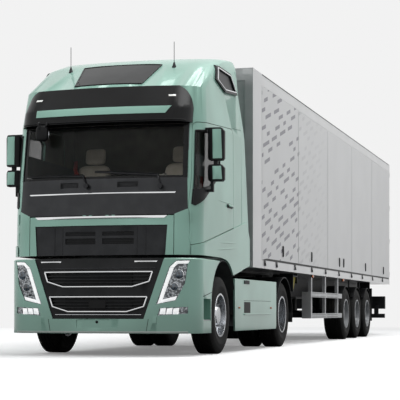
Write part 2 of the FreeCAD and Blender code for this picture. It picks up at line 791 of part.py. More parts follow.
def cab_form(name, inset, bottom=None, top_drop=0.0, longer=0.0):
    """The cab's outer form, drawn in by an inset all round and made longer at the rear."""
    sketches = []
    for number, (height, narrow, front) in enumerate(cab_sections):
        low = bottom if number == 0 and bottom else height
        if number == len(cab_sections) - 1:
            low = height - top_drop
        points = plan_points(S.cab_half_width - narrow, front, inset,
                             S.cab_rear_y + longer - inset)
        sketches.append(outline("%s_section_%d" % (name, number), "plan", points, low))
    form = doc.addObject("Part::Loft", name)
    form.Sections = sketches
    form.Solid = True
    form.Ruled = True
    return form


cab_outer = cab_form("cab_outer", 0)
cab_inner = cab_form("cab_inner", S.cab_wall, bottom=cab_floor, top_drop=S.cab_wall)
arch_exit_z = 1036
arch_exit_y = S.arch_centre_y + math.sqrt(S.arch_radius ** 2 - (arch_exit_z - S.arch_centre_z) ** 2)
arch_rise = 53
lower_points = [
    (-100, 900), (S.cab_rear_y + 50, 900), (S.cab_rear_y + 50, 1130),
    (arch_exit_y, arch_exit_z, arch_rise), (S.arch_centre_y, S.arch_centre_z + S.arch_radius),
    (S.arch_centre_y - 150, S.cab_bottom), (-100, S.cab_bottom),
]
lower_tool = slab("cab_lower_tool", "side", lower_points, -1400, 1400)
under_tool = slab("cab_under_tool", "plan", plan_points(S.cab_half_width, 45, S.cab_wall,
                                                        S.cab_rear_y + 10),
                  900, cab_floor + 1)
wall = cut("cab_wall", cab_outer, [cab_inner, lower_tool, under_tool])

door_fore, door_rear = S.door_front_y, S.door_rear_y
door_points = [(door_fore, door_bottom), (door_rear, door_bottom + S.door_sill_rise),
               (door_rear, door_top - 25), (door_rear - 60, door_top + 35),
               (door_fore + 200, door_top - 55), (door_fore + 157, screen_top),
               (door_fore + 60, cowl_top), (door_fore, cowl_top - 356)]
hole_points = [(door_fore - S.door_gap, door_bottom - S.door_gap * 1.18),
               (door_rear + S.door_gap, door_bottom + S.door_sill_rise - S.door_gap * 0.82),
               (door_rear + S.door_gap, door_top - 21),
               (door_rear - 56, door_top + 35 + S.door_gap),
               (door_fore + 196, door_top - 55 + S.door_gap), (door_fore + 149, screen_top + 4),
               (door_fore + 52, cowl_top + 1), (door_fore - S.door_gap, cowl_top - 355)]


def window_outline(shrink):
    """Side window in side view, drawn in by a small clearance."""
    return [(door_fore + 42 + shrink, cowl_top - 301 + shrink), (820, cowl_top - 76 + shrink),
            (1200 - shrink, cowl_top + 124 + shrink), (1260 - shrink, screen_top - 90),
            (1180, screen_top - 30 - shrink), (door_fore + 172 + shrink, screen_top - 80 - shrink)]


window_points = window_outline(0.0)
door_slab_in = S.cab_half_width - 215
door_hole = slab("door_hole", "side", hole_points, door_slab_in, 1400)
window_tool = slab("window_tool", "side", window_points, door_slab_in - 50, 1400)
screen_low = S.cab_half_width - 150
screen_high = S.cab_half_width - 163
screen_points = [(-screen_low, cowl_top), (screen_low, cowl_top), (screen_high, screen_top),
                 (-screen_high, screen_top)]
screen_tool = slab("screen_tool", "front", screen_points, -100, 470)
cowl_low = hatch_top + 12
cowl_rear = door_fore - S.door_gap


def cowl_zone(name, shrink):
    """Where the cowl panel lies: its lower edge sweeps up round the corners."""
    low, high = cowl_low + shrink, cowl_top - shrink
    end = 1140 - shrink
    rear = cowl_rear - shrink * 2
    seen = slab(name + "_front", "front", [(-950, low), (950, low), (end, low + 85),
                                           (end, high), (-end, high), (-end, low + 85)],
                -50, 330)
    beside = slab(name + "_side", "side", [
        (-50, low - 5), (rear, low - 5), (rear, cowl_top - 356), (rear + 30, cowl_top + 5),
        (-50, cowl_top + 5)], -1300, 1300)
    return common(name, [seen, beside])


cowl_tool = cowl_zone("cowl_tool", 0.0)
hatch_hole = box("hatch_hole", -S.hatch_half_width - seam, S.hatch_half_width + seam, -50, 300,
                 S.cab_bottom - 20, cowl_low + 1)
hatch_slab = box("hatch_slab", -S.hatch_half_width, S.hatch_half_width, -50, 300,
                 S.cab_bottom, hatch_top)

door_hinges = [hinge("door_hinge_%d" % number, "z", S.cab_half_width - S.door_hinge_inset,
                     door_fore - S.door_gap / 2, height, S.door_hinge_radius, 44)
               for number, height in enumerate((door_bottom + 100, door_bottom + 340))]
hatch_hinges = [hinge("hatch_hinge_%d" % number, "x", x, 78, hatch_top + 6,
                      S.hatch_hinge_radius, 40) for number, x in enumerate((-150, 150))]
left_rooms = [room for parts_of in door_hinges for room in parts_of[3]]
left_barrels = [parts_of[0] for parts_of in door_hinges]

# A groove in the cab's side carries the line of the door's top on to the rear.
groove_points = [(door_rear - 45, door_top + 46), (S.cab_rear_y + 20, door_top + 83),
                 (S.cab_rear_y + 20, door_top + 91), (door_rear - 45, door_top + 54)]
groove = cut("roof_groove", slab("groove_slab", "side", groove_points, 1000, 1400),
             [cab_form("groove_floor", 6)])
shell_cut = cut("cab_shell_cut", wall, [
    door_hole, mirrored("door_hole_right", door_hole), screen_tool, cowl_tool, hatch_hole,
    groove, mirrored("roof_groove_right", groove)]
    + left_rooms + [mirrored(room.Name + "_right", room) for room in left_rooms])
shell_bits = [shell_cut] + left_barrels
shell_bits += [mirrored(barrel.Name + "_right", barrel) for barrel in left_barrels]
keep("cab_shell", fuse("cab_shell_fuse", shell_bits))

# Side fins, one each side: a flare below the door that follows the cab's corner, and behind
# the cab a thin fin that closes the space before the trailer.
fin_front_y = S.cab_rear_y + S.seat_gap
fin_length = 400
fin_rear_y = S.cab_rear_y + fin_length
fin_points = [(fin_front_y, S.cab_bottom - 120), (fin_rear_y, S.cab_bottom - 62),
              (fin_rear_y, S.cab_bottom + 318), (S.cab_rear_y + 150, screen_top + 200),
              (fin_front_y, brow_z + 190)]
flare_points = [(100, S.cab_bottom - 302), (S.cab_rear_y, S.cab_bottom - 302),
                (S.cab_rear_y, S.cab_bottom - 124), (fin_rear_y, S.cab_bottom - 62),
                (fin_rear_y, S.cab_bottom + 318), (fin_rear_y - 190, door_bottom + 410),
                (100, door_bottom - 37)]
fin_inner = cab_form("fin_inner", 38, longer=fin_length + 100)
fin = cut("fin_cut", common("fin_common", [
    slab("fin_slab", "side", fin_points, 1000, 1400),
    cab_form("fin_outer", 0, longer=fin_length + 50)]), [fin_inner])
flare = cut("flare_cut", common("flare_common", [
    slab("flare_slab", "side", flare_points, 1150, 1400),
    cab_form("flare_outer", -S.bumper_proud, longer=fin_length + 50)]),
            [fin_inner, cab_form("flare_seat", -S.seat_gap), lower_tool])
keep("side_fins", pair("side_fins_pair", fuse("side_fin_fuse", [fin, flare])))

# Cab floor with the two arms that carry the cab on its tilt pivots.
arm_out = plate_out + S.tilt_arm_width
floor_gap = S.cab_wall + S.seat_gap
floor_bits = [slab("floor_plate", "plan", plan_points(S.cab_half_width, 45, floor_gap,
                                                      S.cab_rear_y - floor_gap),
                   cab_floor - S.cab_floor_plate, cab_floor)]
arm_points = [(pivot_y - 45, pivot_z - 45), (pivot_y + 330, pivot_z - 30),
              (pivot_y + 330, cab_floor - 10), (pivot_y + 252, cab_floor - 10),
              (pivot_y + 252, pivot_z + 45), (pivot_y - 45, pivot_z + 45)]
for side in (1, -1):
    start = plate_out + 1 if side > 0 else -arm_out - 1
    arm = slab("tilt_arm_%d" % side, "side", arm_points, start, start + S.tilt_arm_width)
    bore = rod("tilt_bore_%d" % side, "x", start - 5, pivot_y, pivot_z,
               S.tilt_pin_radius + S.fit_gap, S.tilt_arm_width + 10)
    floor_bits.append(cut("tilt_arm_cut_%d" % side, arm, [bore]))
keep("cab_floor", fuse("cab_floor_fuse", floor_bits))

# Cowl panel below the windscreen.
cowl = common("cowl_common", [wall, cowl_zone("cowl_slab", gap)])
vents = [cut("vent_%d" % number, slab("vent_slab_%d" % number, "front", [
    (x0, cowl_top - 113), (x1, cowl_top - 113), (x1, cowl_top - 44), (x0, cowl_top - 44)], -50, 300),
             [cab_form("vent_floor_%d" % number, 14)])
         for number, (x0, x1) in enumerate(((-530, -290), (230, 490)))]
cowl_cut = cut("cowl_cut", cowl, [room for parts_of in hatch_hinges for room in parts_of[3]]
               + vents)
keep("cowl_panel", fuse("cowl_fuse", [cowl_cut] + [parts_of[0] for parts_of in hatch_hinges]))

# Front hatch, hinged along its top edge.
recess_points = [(-848, S.cab_bottom - 12), (848, S.cab_bottom - 12), (872, hatch_top - 116),
                 (-872, hatch_top - 116)]
recess = cut("hatch_recess", slab("recess_slab", "front", recess_points, -50, 300),
             [cab_form("recess_floor", 18)])
slots = []
for side in (1, -1):
    for number, (low, high) in enumerate(((348, 275), (243, 193))):
        x0, x1 = (45, 450) if side > 0 else (-450, -45)
        slots.append(slab("slot_%d_%d" % (number, side), "front", [
            (x0, hatch_top - low), (x1, hatch_top - low), (x1, hatch_top - high),
            (x0, hatch_top - high)], -50, 300))
slot_tool = cut("slot_tool", group("slots", slots), [cab_form("slot_floor", 36)])
hatch_cut = cut("hatch_cut", common("hatch_common", [wall, hatch_slab]),
                [parts_of[2] for parts_of in hatch_hinges] + [recess, slot_tool])
keep("front_hatch", fuse("hatch_fuse", [hatch_cut] + [
    barrel for parts_of in hatch_hinges for barrel in parts_of[1]]))

# Doors: each a thick panel with its window cut out.
door_slab = slab("door_slab", "side", door_points, door_slab_in, 1400)
door_solid = common("door_common", [wall, door_slab])
door_cut = cut("door_cut", door_solid, [window_tool] + [
    parts_of[2] for parts_of in door_hinges])
keep_pair("door", fuse("door_fuse", [door_cut] + [
    barrel for parts_of in door_hinges for barrel in parts_of[1]]))

# Glass: thin sheets that follow the cab's form.
glass_wall = cut("glass_wall", cab_form("glass_outer", S.glass_inset),
                 [cab_form("glass_inner", S.glass_inset + S.glass)])
screen_glass_points = [(gap - screen_low, cowl_top + gap), (screen_low - gap, cowl_top + gap),
                       (screen_high - gap, screen_top - gap), (gap - screen_high, screen_top - gap)]
keep("windscreen", common("windscreen_common", [
    glass_wall, slab("screen_slab", "front", screen_glass_points, -100, 470)]))
door_glass_slab = slab("door_glass_slab", "side", window_outline(gap), door_slab_in - 50, 1400)
keep_pair("door_glass", common("door_glass_common", [glass_wall, door_glass_slab]))


# Mirrors: a tall housing and a lower wide-angle one, held by an upper arm and by a lower arm on
# a dark corner plate over the foot of the side window.
def housing(name, x0, x1, y0, y1, low, high):
    """A mirror housing with a bowed front and cut corners."""
    above = slab(name + "_plan", "plan", [
        (x0 + 18, y0 + 22, 22), (x1 - 18, y0 + 22), (x1, y0 + 48), (x1, y1), (x0, y1),
        (x0, y0 + 48)], low, high)
    ahead = slab(name + "_face", "front", [
        (x0 + 30, low), (x1 - 22, low), (x1, low + 26), (x1, high - 42), (x1 - 34, high),
        (x0 + 22, high), (x0, high - 26), (x0, low + 34)], y0 - 10, y1 + 10)
    return common(name, [above, ahead])


def mirror():
    """The left mirror."""
    y0, y1 = 545, 655
    skin = S.cab_half_width - 40
    x0 = S.cab_half_width + 15
    x1 = x0 + 210
    top, low = screen_top - 30, cowl_top - 26
    plate = common("corner_plate", [cab_form("corner_plate_outer", -10), slab(
        "corner_plate_slab", "side", [
            (door_fore + 22, cowl_top - 326), (door_fore + 60, cowl_top - 344),
            (840, cowl_top - 78), (840, cowl_top - 56), (door_fore + 52, cowl_top - 141)],
        1000, 1400)])
    bits = [
        housing("mirror_head", x0, x1, y0, y1, low + 260, top),
        housing("mirror_low", x0, x1, y0, y1, low, low + 210),
        box("mirror_link", x0 + 80, x0 + 130, y0 + 30, y1 - 30, low + 200, low + 270),
        box("mirror_arm_top", skin, x0 + 60, y0 + 30, y1 - 35, top - 26, top + 4),
        box("mirror_arm_low", skin, x0 + 75, y0 + 30, y1 - 30, low - 130, low - 98),
        box("mirror_riser", x0 + 40, x0 + 75, y0 + 30, y1 - 30, low - 110, low + 20),
        plate,
    ]
    return cut("mirror_cut", fuse("mirror_fuse", bits), [cab_form("mirror_seat", -S.seat_gap)])


keep_pair("mirror", mirror())

# Sun visor over the windscreen, open below and behind.
visor_half = S.cab_half_width - 125
visor_sections = ((screen_top + 16, visor_half, 62), (screen_top + 200, visor_half, 120),
                  (brow_z + 2, visor_half - 35, 318))


def visor_form(name, inset):
    """The visor's form, drawn in by an inset."""
    sketches = []
    for number, (height, half, front) in enumerate(visor_sections):
        points = plan_points(half, front, inset, 760, corner_in=200, corner_back=260)
        level = height - 25 * (inset > 0) * (number == 2) - 10 * (inset > 0) * (number == 0)
        sketches.append(outline("%s_section_%d" % (name, number), "plan", points, level))
    form = doc.addObject("Part::Loft", name)
    form.Sections = sketches
    form.Solid = True
    form.Ruled = True
    return form


visor_back = box("visor_back", -1300, 1300, 640, 900, screen_top - 80, brow_z + 130)
keep("sun_visor", cut("visor_cut", visor_form("visor_outer", 0), [
    cab_form("visor_seat", -0.3), visor_form("visor_inner", 22), visor_back]))

# Dashboard across the cab.
dash_points = [(y, cab_floor + rise) for y, rise in (
    (330, 300), (620, 300), (700, 560), (800, 640), (790, 750), (420, 810), (230, 800))]
dash_half = S.cab_half_width - S.cab_wall - 5
dash = slab("dash_slab", "side", dash_points, -dash_half, dash_half)
dash_foot = box("dash_foot", -250, 250, 380, 600, cab_floor, cab_floor + 320)
keep("dashboard", common("dash_common", [fuse("dash_fuse", [dash, dash_foot]),
                                         cab_form("dash_room", S.cab_wall + 60,
                                                  bottom=cab_floor, top_drop=60)]))

# Steering wheel on its column.
wheel_tilt = FreeCAD.Rotation(V(1, 0, 0), -32)
hand_rim = doc.addObject("Part::Torus", "hand_rim")
hand_rim.Radius1 = 215
hand_rim.Radius2 = 15
hand_x, hand_y, hand_z = 620, 880, cab_floor + 830
place(hand_rim, hand_x, hand_y, hand_z, wheel_tilt)
hand_hub = doc.addObject("Part::Cylinder", "hand_hub")
hand_hub.Radius = 62
hand_hub.Height = 50
place(hand_hub, hand_x, hand_y - 20, hand_z - 38, wheel_tilt)
column = doc.addObject("Part::Cylinder", "column")
column.Radius = 32
column.Height = 245
place(column, hand_x, hand_y - 148, hand_z - 236, wheel_tilt)
spoke = doc.addObject("Part::Box", "spoke")
spoke.Length = 420
spoke.Width = 50
spoke.Height = 16
place(spoke, hand_x - 210, hand_y - 25, hand_z + 4, wheel_tilt)
keep("steering_wheel", cut("steering_cut", fuse("steering_fuse", [hand_rim, hand_hub, column,
                                                                  spoke]), [dash]))


# Seats: a pedestal, cushion, backrest and headrest each, and the bunk behind them.
def seat(name, x):
    """One seat."""
    bits = [
        box(name + "_base", x - 200, x + 200, 1080, 1480, cab_floor, cab_floor + 360),
        box(name + "_cushion", x - 260, x + 260, 1020, 1540, cab_floor + 350, cab_floor + 510),
        slab(name + "_back", "side", [(1400, cab_floor + 480), (1540, cab_floor + 480),
                                      (1680, cab_floor + 1220), (1570, cab_floor + 1220)],
             x - 250, x + 250),
        slab(name + "_head", "side", [(1575, cab_floor + 1200), (1670, cab_floor + 1200),
                                      (1720, cab_floor + 1440), (1620, cab_floor + 1440)],
             x - 150, x + 150),
    ]
    return fuse(name, bits)


bunk_rear = S.cab_rear_y - S.cab_wall
bunk = box("bunk", -dash_half, dash_half, bunk_rear - 535, bunk_rear, cab_floor + 420,
           cab_floor + 620)
bunk_box = box("bunk_box", -dash_half, dash_half, bunk_rear - 485, bunk_rear, cab_floor,
               cab_floor + 430)
keep("seats", group("seats_group", [
    seat("driver_seat", 620), seat("passenger_seat", -620), fuse("bunk_fuse", [bunk, bunk_box])]))


# Roof fittings: a framed intake mouth on each side of the roof and two short antennas.
def intake():
    """The left intake: a plate on the cab's side with a sunk mouth."""
    high, rear = brow_z + S.roof_rise, S.cab_rear_y
    rim_outline = [(rear - 1190, high - 420), (rear - 750, high - 525), (rear - 110, high - 470),
                   (rear - 420, high - 225), (rear - 1090, high - 215)]
    mouth_outline = [(rear - 1110, high - 410), (rear - 760, high - 487), (rear - 210, high - 440),
                     (rear - 440, high - 258), (rear - 1050, high - 252)]
    mouth = cut("intake_mouth", slab("intake_mouth_slab", "side", mouth_outline, 1000, 1400),
                [cab_form("intake_floor", -5)])
    plate = common("intake_plate", [cab_form("intake_outer", -26),
                                    slab("intake_slab", "side", rim_outline, 1000, 1400)])
    return cut("intake_cut", plate, [cab_form("intake_seat", -S.seat_gap), mouth])


def antenna():
    """The left whip antenna."""
    foot = doc.addObject("Part::Cone", "antenna_foot")
    foot.Radius1 = 42
    foot.Radius2 = 8
    foot.Height = 110
    foot_x, foot_y, foot_z = S.cab_half_width - 535, 950, brow_z + S.roof_rise * 0.47
    place(foot, foot_x, foot_y, foot_z)
    whip = rod("antenna_whip", "z", foot_x, foot_y, foot_z + 100, 4, 270)
    return cut("antenna_cut", fuse("antenna_fuse", [foot, whip]), [
        cab_form("antenna_seat", -S.seat_gap)])


left_fittings = [intake(), antenna()]
keep("roof_fittings", group("roof_fittings_group", left_fittings + [
    mirrored("intake_right", left_fittings[0]), mirrored("antenna_right", left_fittings[1])]))

# Wheels.
def tyre_points(width, shift):
    """Profile of one tyre, from bead to tread, about the wheel's axis."""
    w = width / 2
    low = S.rim_radius + S.seat_gap
    top = S.tyre_radius
    return [(shift - w + 22, low), (shift + w - 22, low), (shift + w, low + 90),
            (shift + w - 6, top - 62), (shift + w - 34, top), (shift - w + 34, top),
            (shift - w + 6, top - 62), (shift - w, low + 90)]


def rim_points(width, shift, disc, bore, hub_end):
    """Profile of a rim: barrel, disc and hub, with the disc facing +X."""
    w = width / 2 - 10
    r = S.rim_radius
    return [(shift - w, r - 26), (shift - w, r), (shift + w, r), (shift + w, r - 26),
            (shift + disc + 14, r - 26), (shift + disc + 14, 150), (hub_end, 110),
            (hub_end, 0), (hub_end - 40, 0), (hub_end - 40, bore), (shift + disc - 60, bore),
            (shift + disc - 60, 150), (shift + disc, 150), (shift + disc, r - 26)]


HAND_HOLES = 10
hole_circle = S.rim_radius - 81


def wheel_pair(label, width, outer_x, y, disc, bore, reach, twins=False):
    """Tyres and rims of one axle, left and right."""
    centre = outer_x - width / 2
    tyre = turned(label + "_tyre_body", tyre_points(width, 0.0), centre, y, S.tyre_radius)
    if twins:
        second = turned(label + "_tyre_inner", tyre_points(width, -(width + S.twin_gap)), centre,
                        y, S.tyre_radius)
        tyre = group(label + "_tyres", [tyre, second])
    keep_pair("tyre_" + label, tyre)
    points = rim_points(width, 0.0, disc, bore, reach)
    if twins:
        inner = -(width + S.twin_gap)
        w = width / 2 - 10
        r = S.rim_radius
        barrel = [(inner - w, r - 26), (inner - w, r), (w, r), (w, r - 26), (disc + 14, r - 26),
                  (disc + 14, 150), (reach, 110), (reach, 0), (reach - 40, 0),
                  (reach - 40, bore), (disc - 60, bore), (disc - 60, 150), (disc, 150),
                  (disc, r - 26)]
        points = barrel
    rim = turned(label + "_rim_body", points, centre, y, S.tyre_radius)
    holes = []
    for step in range(HAND_HOLES):
        angle = 2 * math.pi * step / HAND_HOLES
        holes.append(rod("%s_hand_hole_%d" % (label, step), "x", centre + disc - 20,
                         y + math.cos(angle) * hole_circle,
                         S.tyre_radius + math.sin(angle) * hole_circle, 27, 60))
    keep_pair("rim_" + label, cut(label + "_rim_holed", rim, holes))


hub_bore = S.spindle_radius + S.fit_gap
wheel_pair("front", S.tractor_tyre_width, S.wheel_outer_x, S.front_axle_y, 40, hub_bore, 118)
wheel_pair("drive", S.tractor_tyre_width, S.wheel_outer_x, drive_axle_y, -190,
           S.drive_spindle_radius + S.fit_gap, -60, twins=True)
for number, step in enumerate((-1, 0, 1), start=1):
    wheel_pair("trailer_%d" % number, S.trailer_tyre_width, S.trailer_wheel_outer_x,
               trailer_group_y + S.trailer_axle_pitch * step, 70, hub_bore, 130)

# Trailer chassis: two beams, cross members, the coupler plate and its pin.
beam_in = S.beam_half_gap
beam_out = beam_in + S.beam_width
floor_low = S.trailer_floor_bottom
chassis = []
for side in (1, -1):
    start = beam_in if side > 0 else -beam_out
    points = [(S.beam_front_y, floor_low - 130), (S.beam_front_y + 700, S.beam_bottom),
              (trailer_rear_y - 60, S.beam_bottom), (trailer_rear_y - 60, floor_low),
              (S.beam_front_y, floor_low)]
    chassis.append(slab("beam_%d" % side, "side", points, start, start + S.beam_width))
cross_front_y = S.beam_front_y + 900
cross_pitch = (trailer_rear_y - 913 - cross_front_y) / 6
for number in range(7):
    y = cross_front_y + cross_pitch * number
    chassis.append(box("trailer_cross_%d" % number, -beam_in - 5, beam_in + 5, y, y + 80,
                       S.beam_bottom + 120, floor_low - 60))
chassis.append(box("coupler_plate", -700, 700, S.trailer_front_y + 250, S.beam_front_y + 300,
                   S.coupling_top + S.seat_gap, floor_low))
chassis.append(rod("king_pin", "z", 0, kingpin_y, S.coupling_top - 84, S.coupling_pin_radius, 90))

# Rear underrun beam with lamp boxes.
under_y = trailer_rear_y - 180
chassis.append(box("underrun", -1180, 1180, under_y, under_y + 110, 392, 490))
for side in (1, -1):
    x = 500 if side > 0 else -590
    chassis.append(box("underrun_leg_%d" % side, x, x + 90, under_y + 10, under_y + 90, 480,
                       S.beam_bottom))
    x = 780 if side > 0 else -1180
    chassis.append(box("lamp_box_%d" % side, x, x + 400, under_y + 60, under_y + 170, 605,
                       900))
    chassis.append(box("lamp_stay_%d" % side, x + 150, x + 250, under_y + 40, under_y + 100,
                       480, 700))
keep("trailer_frame", fuse("trailer_frame_fuse", chassis))

# Box body: floor, front wall, roof, rails, posts and the rear portal.
post_x = trailer_half - S.side_panel
rail_z = floor_low + S.side_rail
roof_low = S.overall_height - S.top_rail
portal_y = trailer_rear_y - S.door_leaf
body_bits = [
    box("floor", -trailer_half, trailer_half, S.trailer_front_y, portal_y - seam, floor_low,
        floor_low + 60),
    box("roof", -trailer_half, trailer_half, S.trailer_front_y, portal_y - 2,
        S.overall_height - 40, S.overall_height),
    box("front_bulkhead", -trailer_half, trailer_half, S.trailer_front_y + 25,
        S.trailer_front_y + S.front_wall, floor_low, S.overall_height),
    box("front_header", -trailer_half, trailer_half, S.trailer_front_y, S.trailer_front_y + 30,
        S.overall_height - 175, S.overall_height),
    box("front_sill", -trailer_half, trailer_half, S.trailer_front_y, S.trailer_front_y + 30,
        floor_low, rail_z),
]
panel_pitch = (portal_y - 60 - S.panel_front_y) / 5
for side in (1, -1):
    def span(a, b):
        """Order two half-widths for this side."""
        return (a, b) if side > 0 else (-b, -a)
    x0, x1 = span(trailer_half - 100, trailer_half)
    body_bits.append(box("bottom_rail_%d" % side, x0, x1, S.trailer_front_y, portal_y - 2,
                         floor_low, rail_z))
    x0, x1 = span(trailer_half - 60, trailer_half)
    body_bits.append(box("top_rail_%d" % side, x0, x1, S.trailer_front_y, portal_y - 2, roof_low,
                         S.overall_height))
    x0, x1 = span(trailer_half - 120, trailer_half)
    body_bits.append(box("front_post_%d" % side, x0, x1, S.trailer_front_y,
                         S.trailer_front_y + 30, floor_low, S.overall_height))
    x0, x1 = span(trailer_half - 28, trailer_half)
    body_bits.append(box("corner_skin_%d" % side, x0, x1, S.trailer_front_y,
                         S.panel_front_y - seam, floor_low, S.overall_height))
    x0, x1 = span(trailer_half - 110, trailer_half)
    body_bits.append(box("rear_post_%d" % side, x0, x1, portal_y - 62, portal_y - 2, floor_low,
                         S.overall_height))
    x0, x1 = span(trailer_half - 18, trailer_half)
    body_bits.append(box("rear_corner_%d" % side, x0, x1, portal_y - 20, trailer_rear_y,
                         floor_low, S.overall_height))
    x0, x1 = span(post_x - S.post_depth, post_x)
    for number in range(6):
        y = S.panel_front_y + panel_pitch * number
        body_bits.append(box("post_%d_%d" % (number, side), x0, x1, y - 40, y + 40,
                             floor_low + 10, roof_low + 10))
body_bits.append(box("rear_sill", -trailer_half, trailer_half, portal_y - 62, portal_y - 2,
                     floor_low, rail_z))
body_bits.append(box("rear_header", -trailer_half, trailer_half, portal_y - 62, portal_y - 2,
                     S.overall_height - 110, S.overall_height))


# Rear door hinge brackets on the corner posts.
hinge_low = rail_z + 100
hinge_pitch = (S.overall_height - 260 - hinge_low) / 3


def hinge_set():
    """The left-hand brackets with their pins."""
    hinge_y = trailer_rear_y + S.rear_hinge_offset
    brackets = []
    for number in range(4):
        z = hinge_low + hinge_pitch * number - 42
        brackets.append(fuse("bracket_%d" % number, [
            box("lug_%d" % number, S.rear_hinge_x - 4, S.rear_hinge_x + 11, trailer_rear_y,
                hinge_y, z, z + 41),
            rod("lug_barrel_%d" % number, "z", S.rear_hinge_x, hinge_y, z,
                S.rear_hinge_radius, 41),
            rod("lug_pin_%d" % number, "z", S.rear_hinge_x, hinge_y, z, S.rear_hinge_pin, 105)]))
    return brackets


left_brackets = hinge_set()
right_brackets = [mirrored("bracket_right_%d" % n, b) for n, b in enumerate(left_brackets)]
body_bits += left_brackets + right_brackets
keep("box_body", fuse("box_body_fuse", body_bits))

# Side panels: five each side, between the rails.
panels = []
for side in (1, -1):
    x0, x1 = (post_x, trailer_half) if side > 0 else (-trailer_half, -post_x)
    for number in range(5):
        y0 = S.panel_front_y + panel_pitch * number + seam / 2
        y1 = S.panel_front_y + panel_pitch * (number + 1) - seam / 2
        panels.append(box("side_panel_%d_%d" % (number, side), x0, x1, y0, y1, rail_z + gap,
                          roof_low - gap))
keep("side_panels", group("side_panels_group", panels))


# Rear doors: each a leaf with four hinges and two lock rods.
def rear_door():
    """The left rear door."""
    hinge_y = trailer_rear_y + S.rear_hinge_offset
    edge = S.rear_hinge_x - 8
    low, high = floor_low + 22, S.overall_height - 12
    guide_pitch = (high - rail_z - 388) / 2
    bits = [box("leaf", 4, edge, portal_y, trailer_rear_y, low, high)]
    for number in range(4):
        z = hinge_low + hinge_pitch * number
        bits.append(box("blade_foot_%d" % number, edge - 34, edge, trailer_rear_y - 5,
                        trailer_rear_y + 8, z, z + 70))
        bits.append(box("blade_%d" % number, edge - 34, edge + 8, trailer_rear_y + 2, hinge_y, z,
                        z + 70))
        bits.append(rod("blade_barrel_%d" % number, "z", S.rear_hinge_x, hinge_y, z,
                        S.rear_hinge_radius, 70))
    for number, x in enumerate((330, 900)):
        bits.append(rod("lock_rod_%d" % number, "z", x, trailer_rear_y + 16, low, 14, high - low))
        for stop in range(3):
            z = rail_z + guide_pitch * stop
            bits.append(box("rod_guide_%d_%d" % (number, stop), x - 30, x + 30,
                            trailer_rear_y - 5, trailer_rear_y + 20, z, z + 60))
    bores = [rod("blade_bore_%d" % number, "z", S.rear_hinge_x, hinge_y,
                 hinge_low + hinge_pitch * number - 20, S.rear_hinge_pin + S.fit_gap, 110)
             for number in range(4)]
    return cut("rear_door_cut", fuse("rear_door_fuse", bits), bores)


keep_pair("rear_door", rear_door())


# Landing legs, wound up.
leg_y = kingpin_y + 2350
leg_bits = [
    box("leg_left", 640, 770, leg_y, leg_y + 130, 520, floor_low),
    box("leg_right", -770, -640, leg_y, leg_y + 130, 520, floor_low),
    box("foot_left", 600, 810, leg_y - 40, leg_y + 170, 420, 450),
    box("foot_right", -810, -600, leg_y - 40, leg_y + 170, 420, 450),
    box("shin_left", 660, 750, leg_y + 20, leg_y + 110, 440, 530),
    box("shin_right", -750, -660, leg_y + 20, leg_y + 110, 440, 530),
    box("leg_brace", -650, 650, leg_y + 40, leg_y + 90, 700, 770),
]
keep("landing_legs", fuse("landing_legs_fuse", leg_bits))


# Side guards: two rails a side on posts from the floor.
def guard():
    """The left side guard."""
    x1 = trailer_half - 15
    x0 = x1 - 40
    front = leg_y + 280
    rear = trailer_group_y - S.trailer_axle_pitch - S.tyre_radius - 150
    bits = [box("guard_rail_low", x0, x1, front, rear, 430, 515),
            box("guard_rail_high", x0, x1, front, rear, 795, 885),
            box("guard_end", x0 - 120, x1, front, front + 14, 430, 885)]
    for number in range(3):
        y = front + 200 + (rear - front - 480) / 2 * number
        bits.append(box("guard_post_%d" % number, x0 - 50, x0 + 5, y, y + 80, 430, floor_low))
    return fuse("guard_fuse", bits)


keep("side_guards", pair("side_guards_pair", guard()))

# Trailer axles, each with trailing arms and bellows under the beams.
axles = []
for number, step in enumerate((-1, 0, 1), start=1):
    y = trailer_group_y + S.trailer_axle_pitch * step
    centre = S.trailer_wheel_outer_x - S.trailer_tyre_width / 2
    tube = centre - 20
    bits = [
        rod("trailer_tube_%d" % number, "x", -tube, y, S.tyre_radius, S.axle_tube_radius,
            tube * 2),
        rod("trailer_stub_%d" % number, "x", -tube - 90, y, S.tyre_radius, S.spindle_radius,
            tube * 2 + 180),
    ]
    for side in (1, -1):
        x = beam_in + 10 if side > 0 else -beam_in - 110
        bits.append(slab("arm_%d_%d" % (number, side), "side", [
            (y - 560, 640), (y - 500, 600), (y, 560), (y + 420, 500), (y + 420, 560),
            (y, 640), (y - 500, 720), (y - 560, 700)], x, x + 100))
        bits.append(box("hanger_%d_%d" % (number, side), x, x + 100, y - 590, y - 470, 600,
                        S.beam_bottom))
        bits.append(rod("spring_%d_%d" % (number, side), "z", x + 50, y + 320, 540, 130,
                        S.beam_bottom - 540))
    axles.append(fuse("trailer_axle_%d" % number, bits))
keep("trailer_axles", group("trailer_axles_group", axles))

doc.recompute()

# Check every object and every sub-part, then write the files.
faults = [obj.Name for obj in doc.Objects if "Invalid" in obj.State or "Error" in obj.State]
for label, obj in parts.items():
    if obj.Shape.isNull() or not obj.Shape.isValid() or not obj.Shape.Solids:
        faults.append(label)
if faults:
    raise RuntimeError("failed objects: %s" % ", ".join(faults))
os.makedirs("parts", exist_ok=True)
for label, obj in parts.items():
    obj.Shape.exportStep("parts/%s.step" % label)
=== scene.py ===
import json
import math

import bmesh
import bpy
import numpy as np
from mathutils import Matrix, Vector
from mathutils.bvhtree import BVHTree


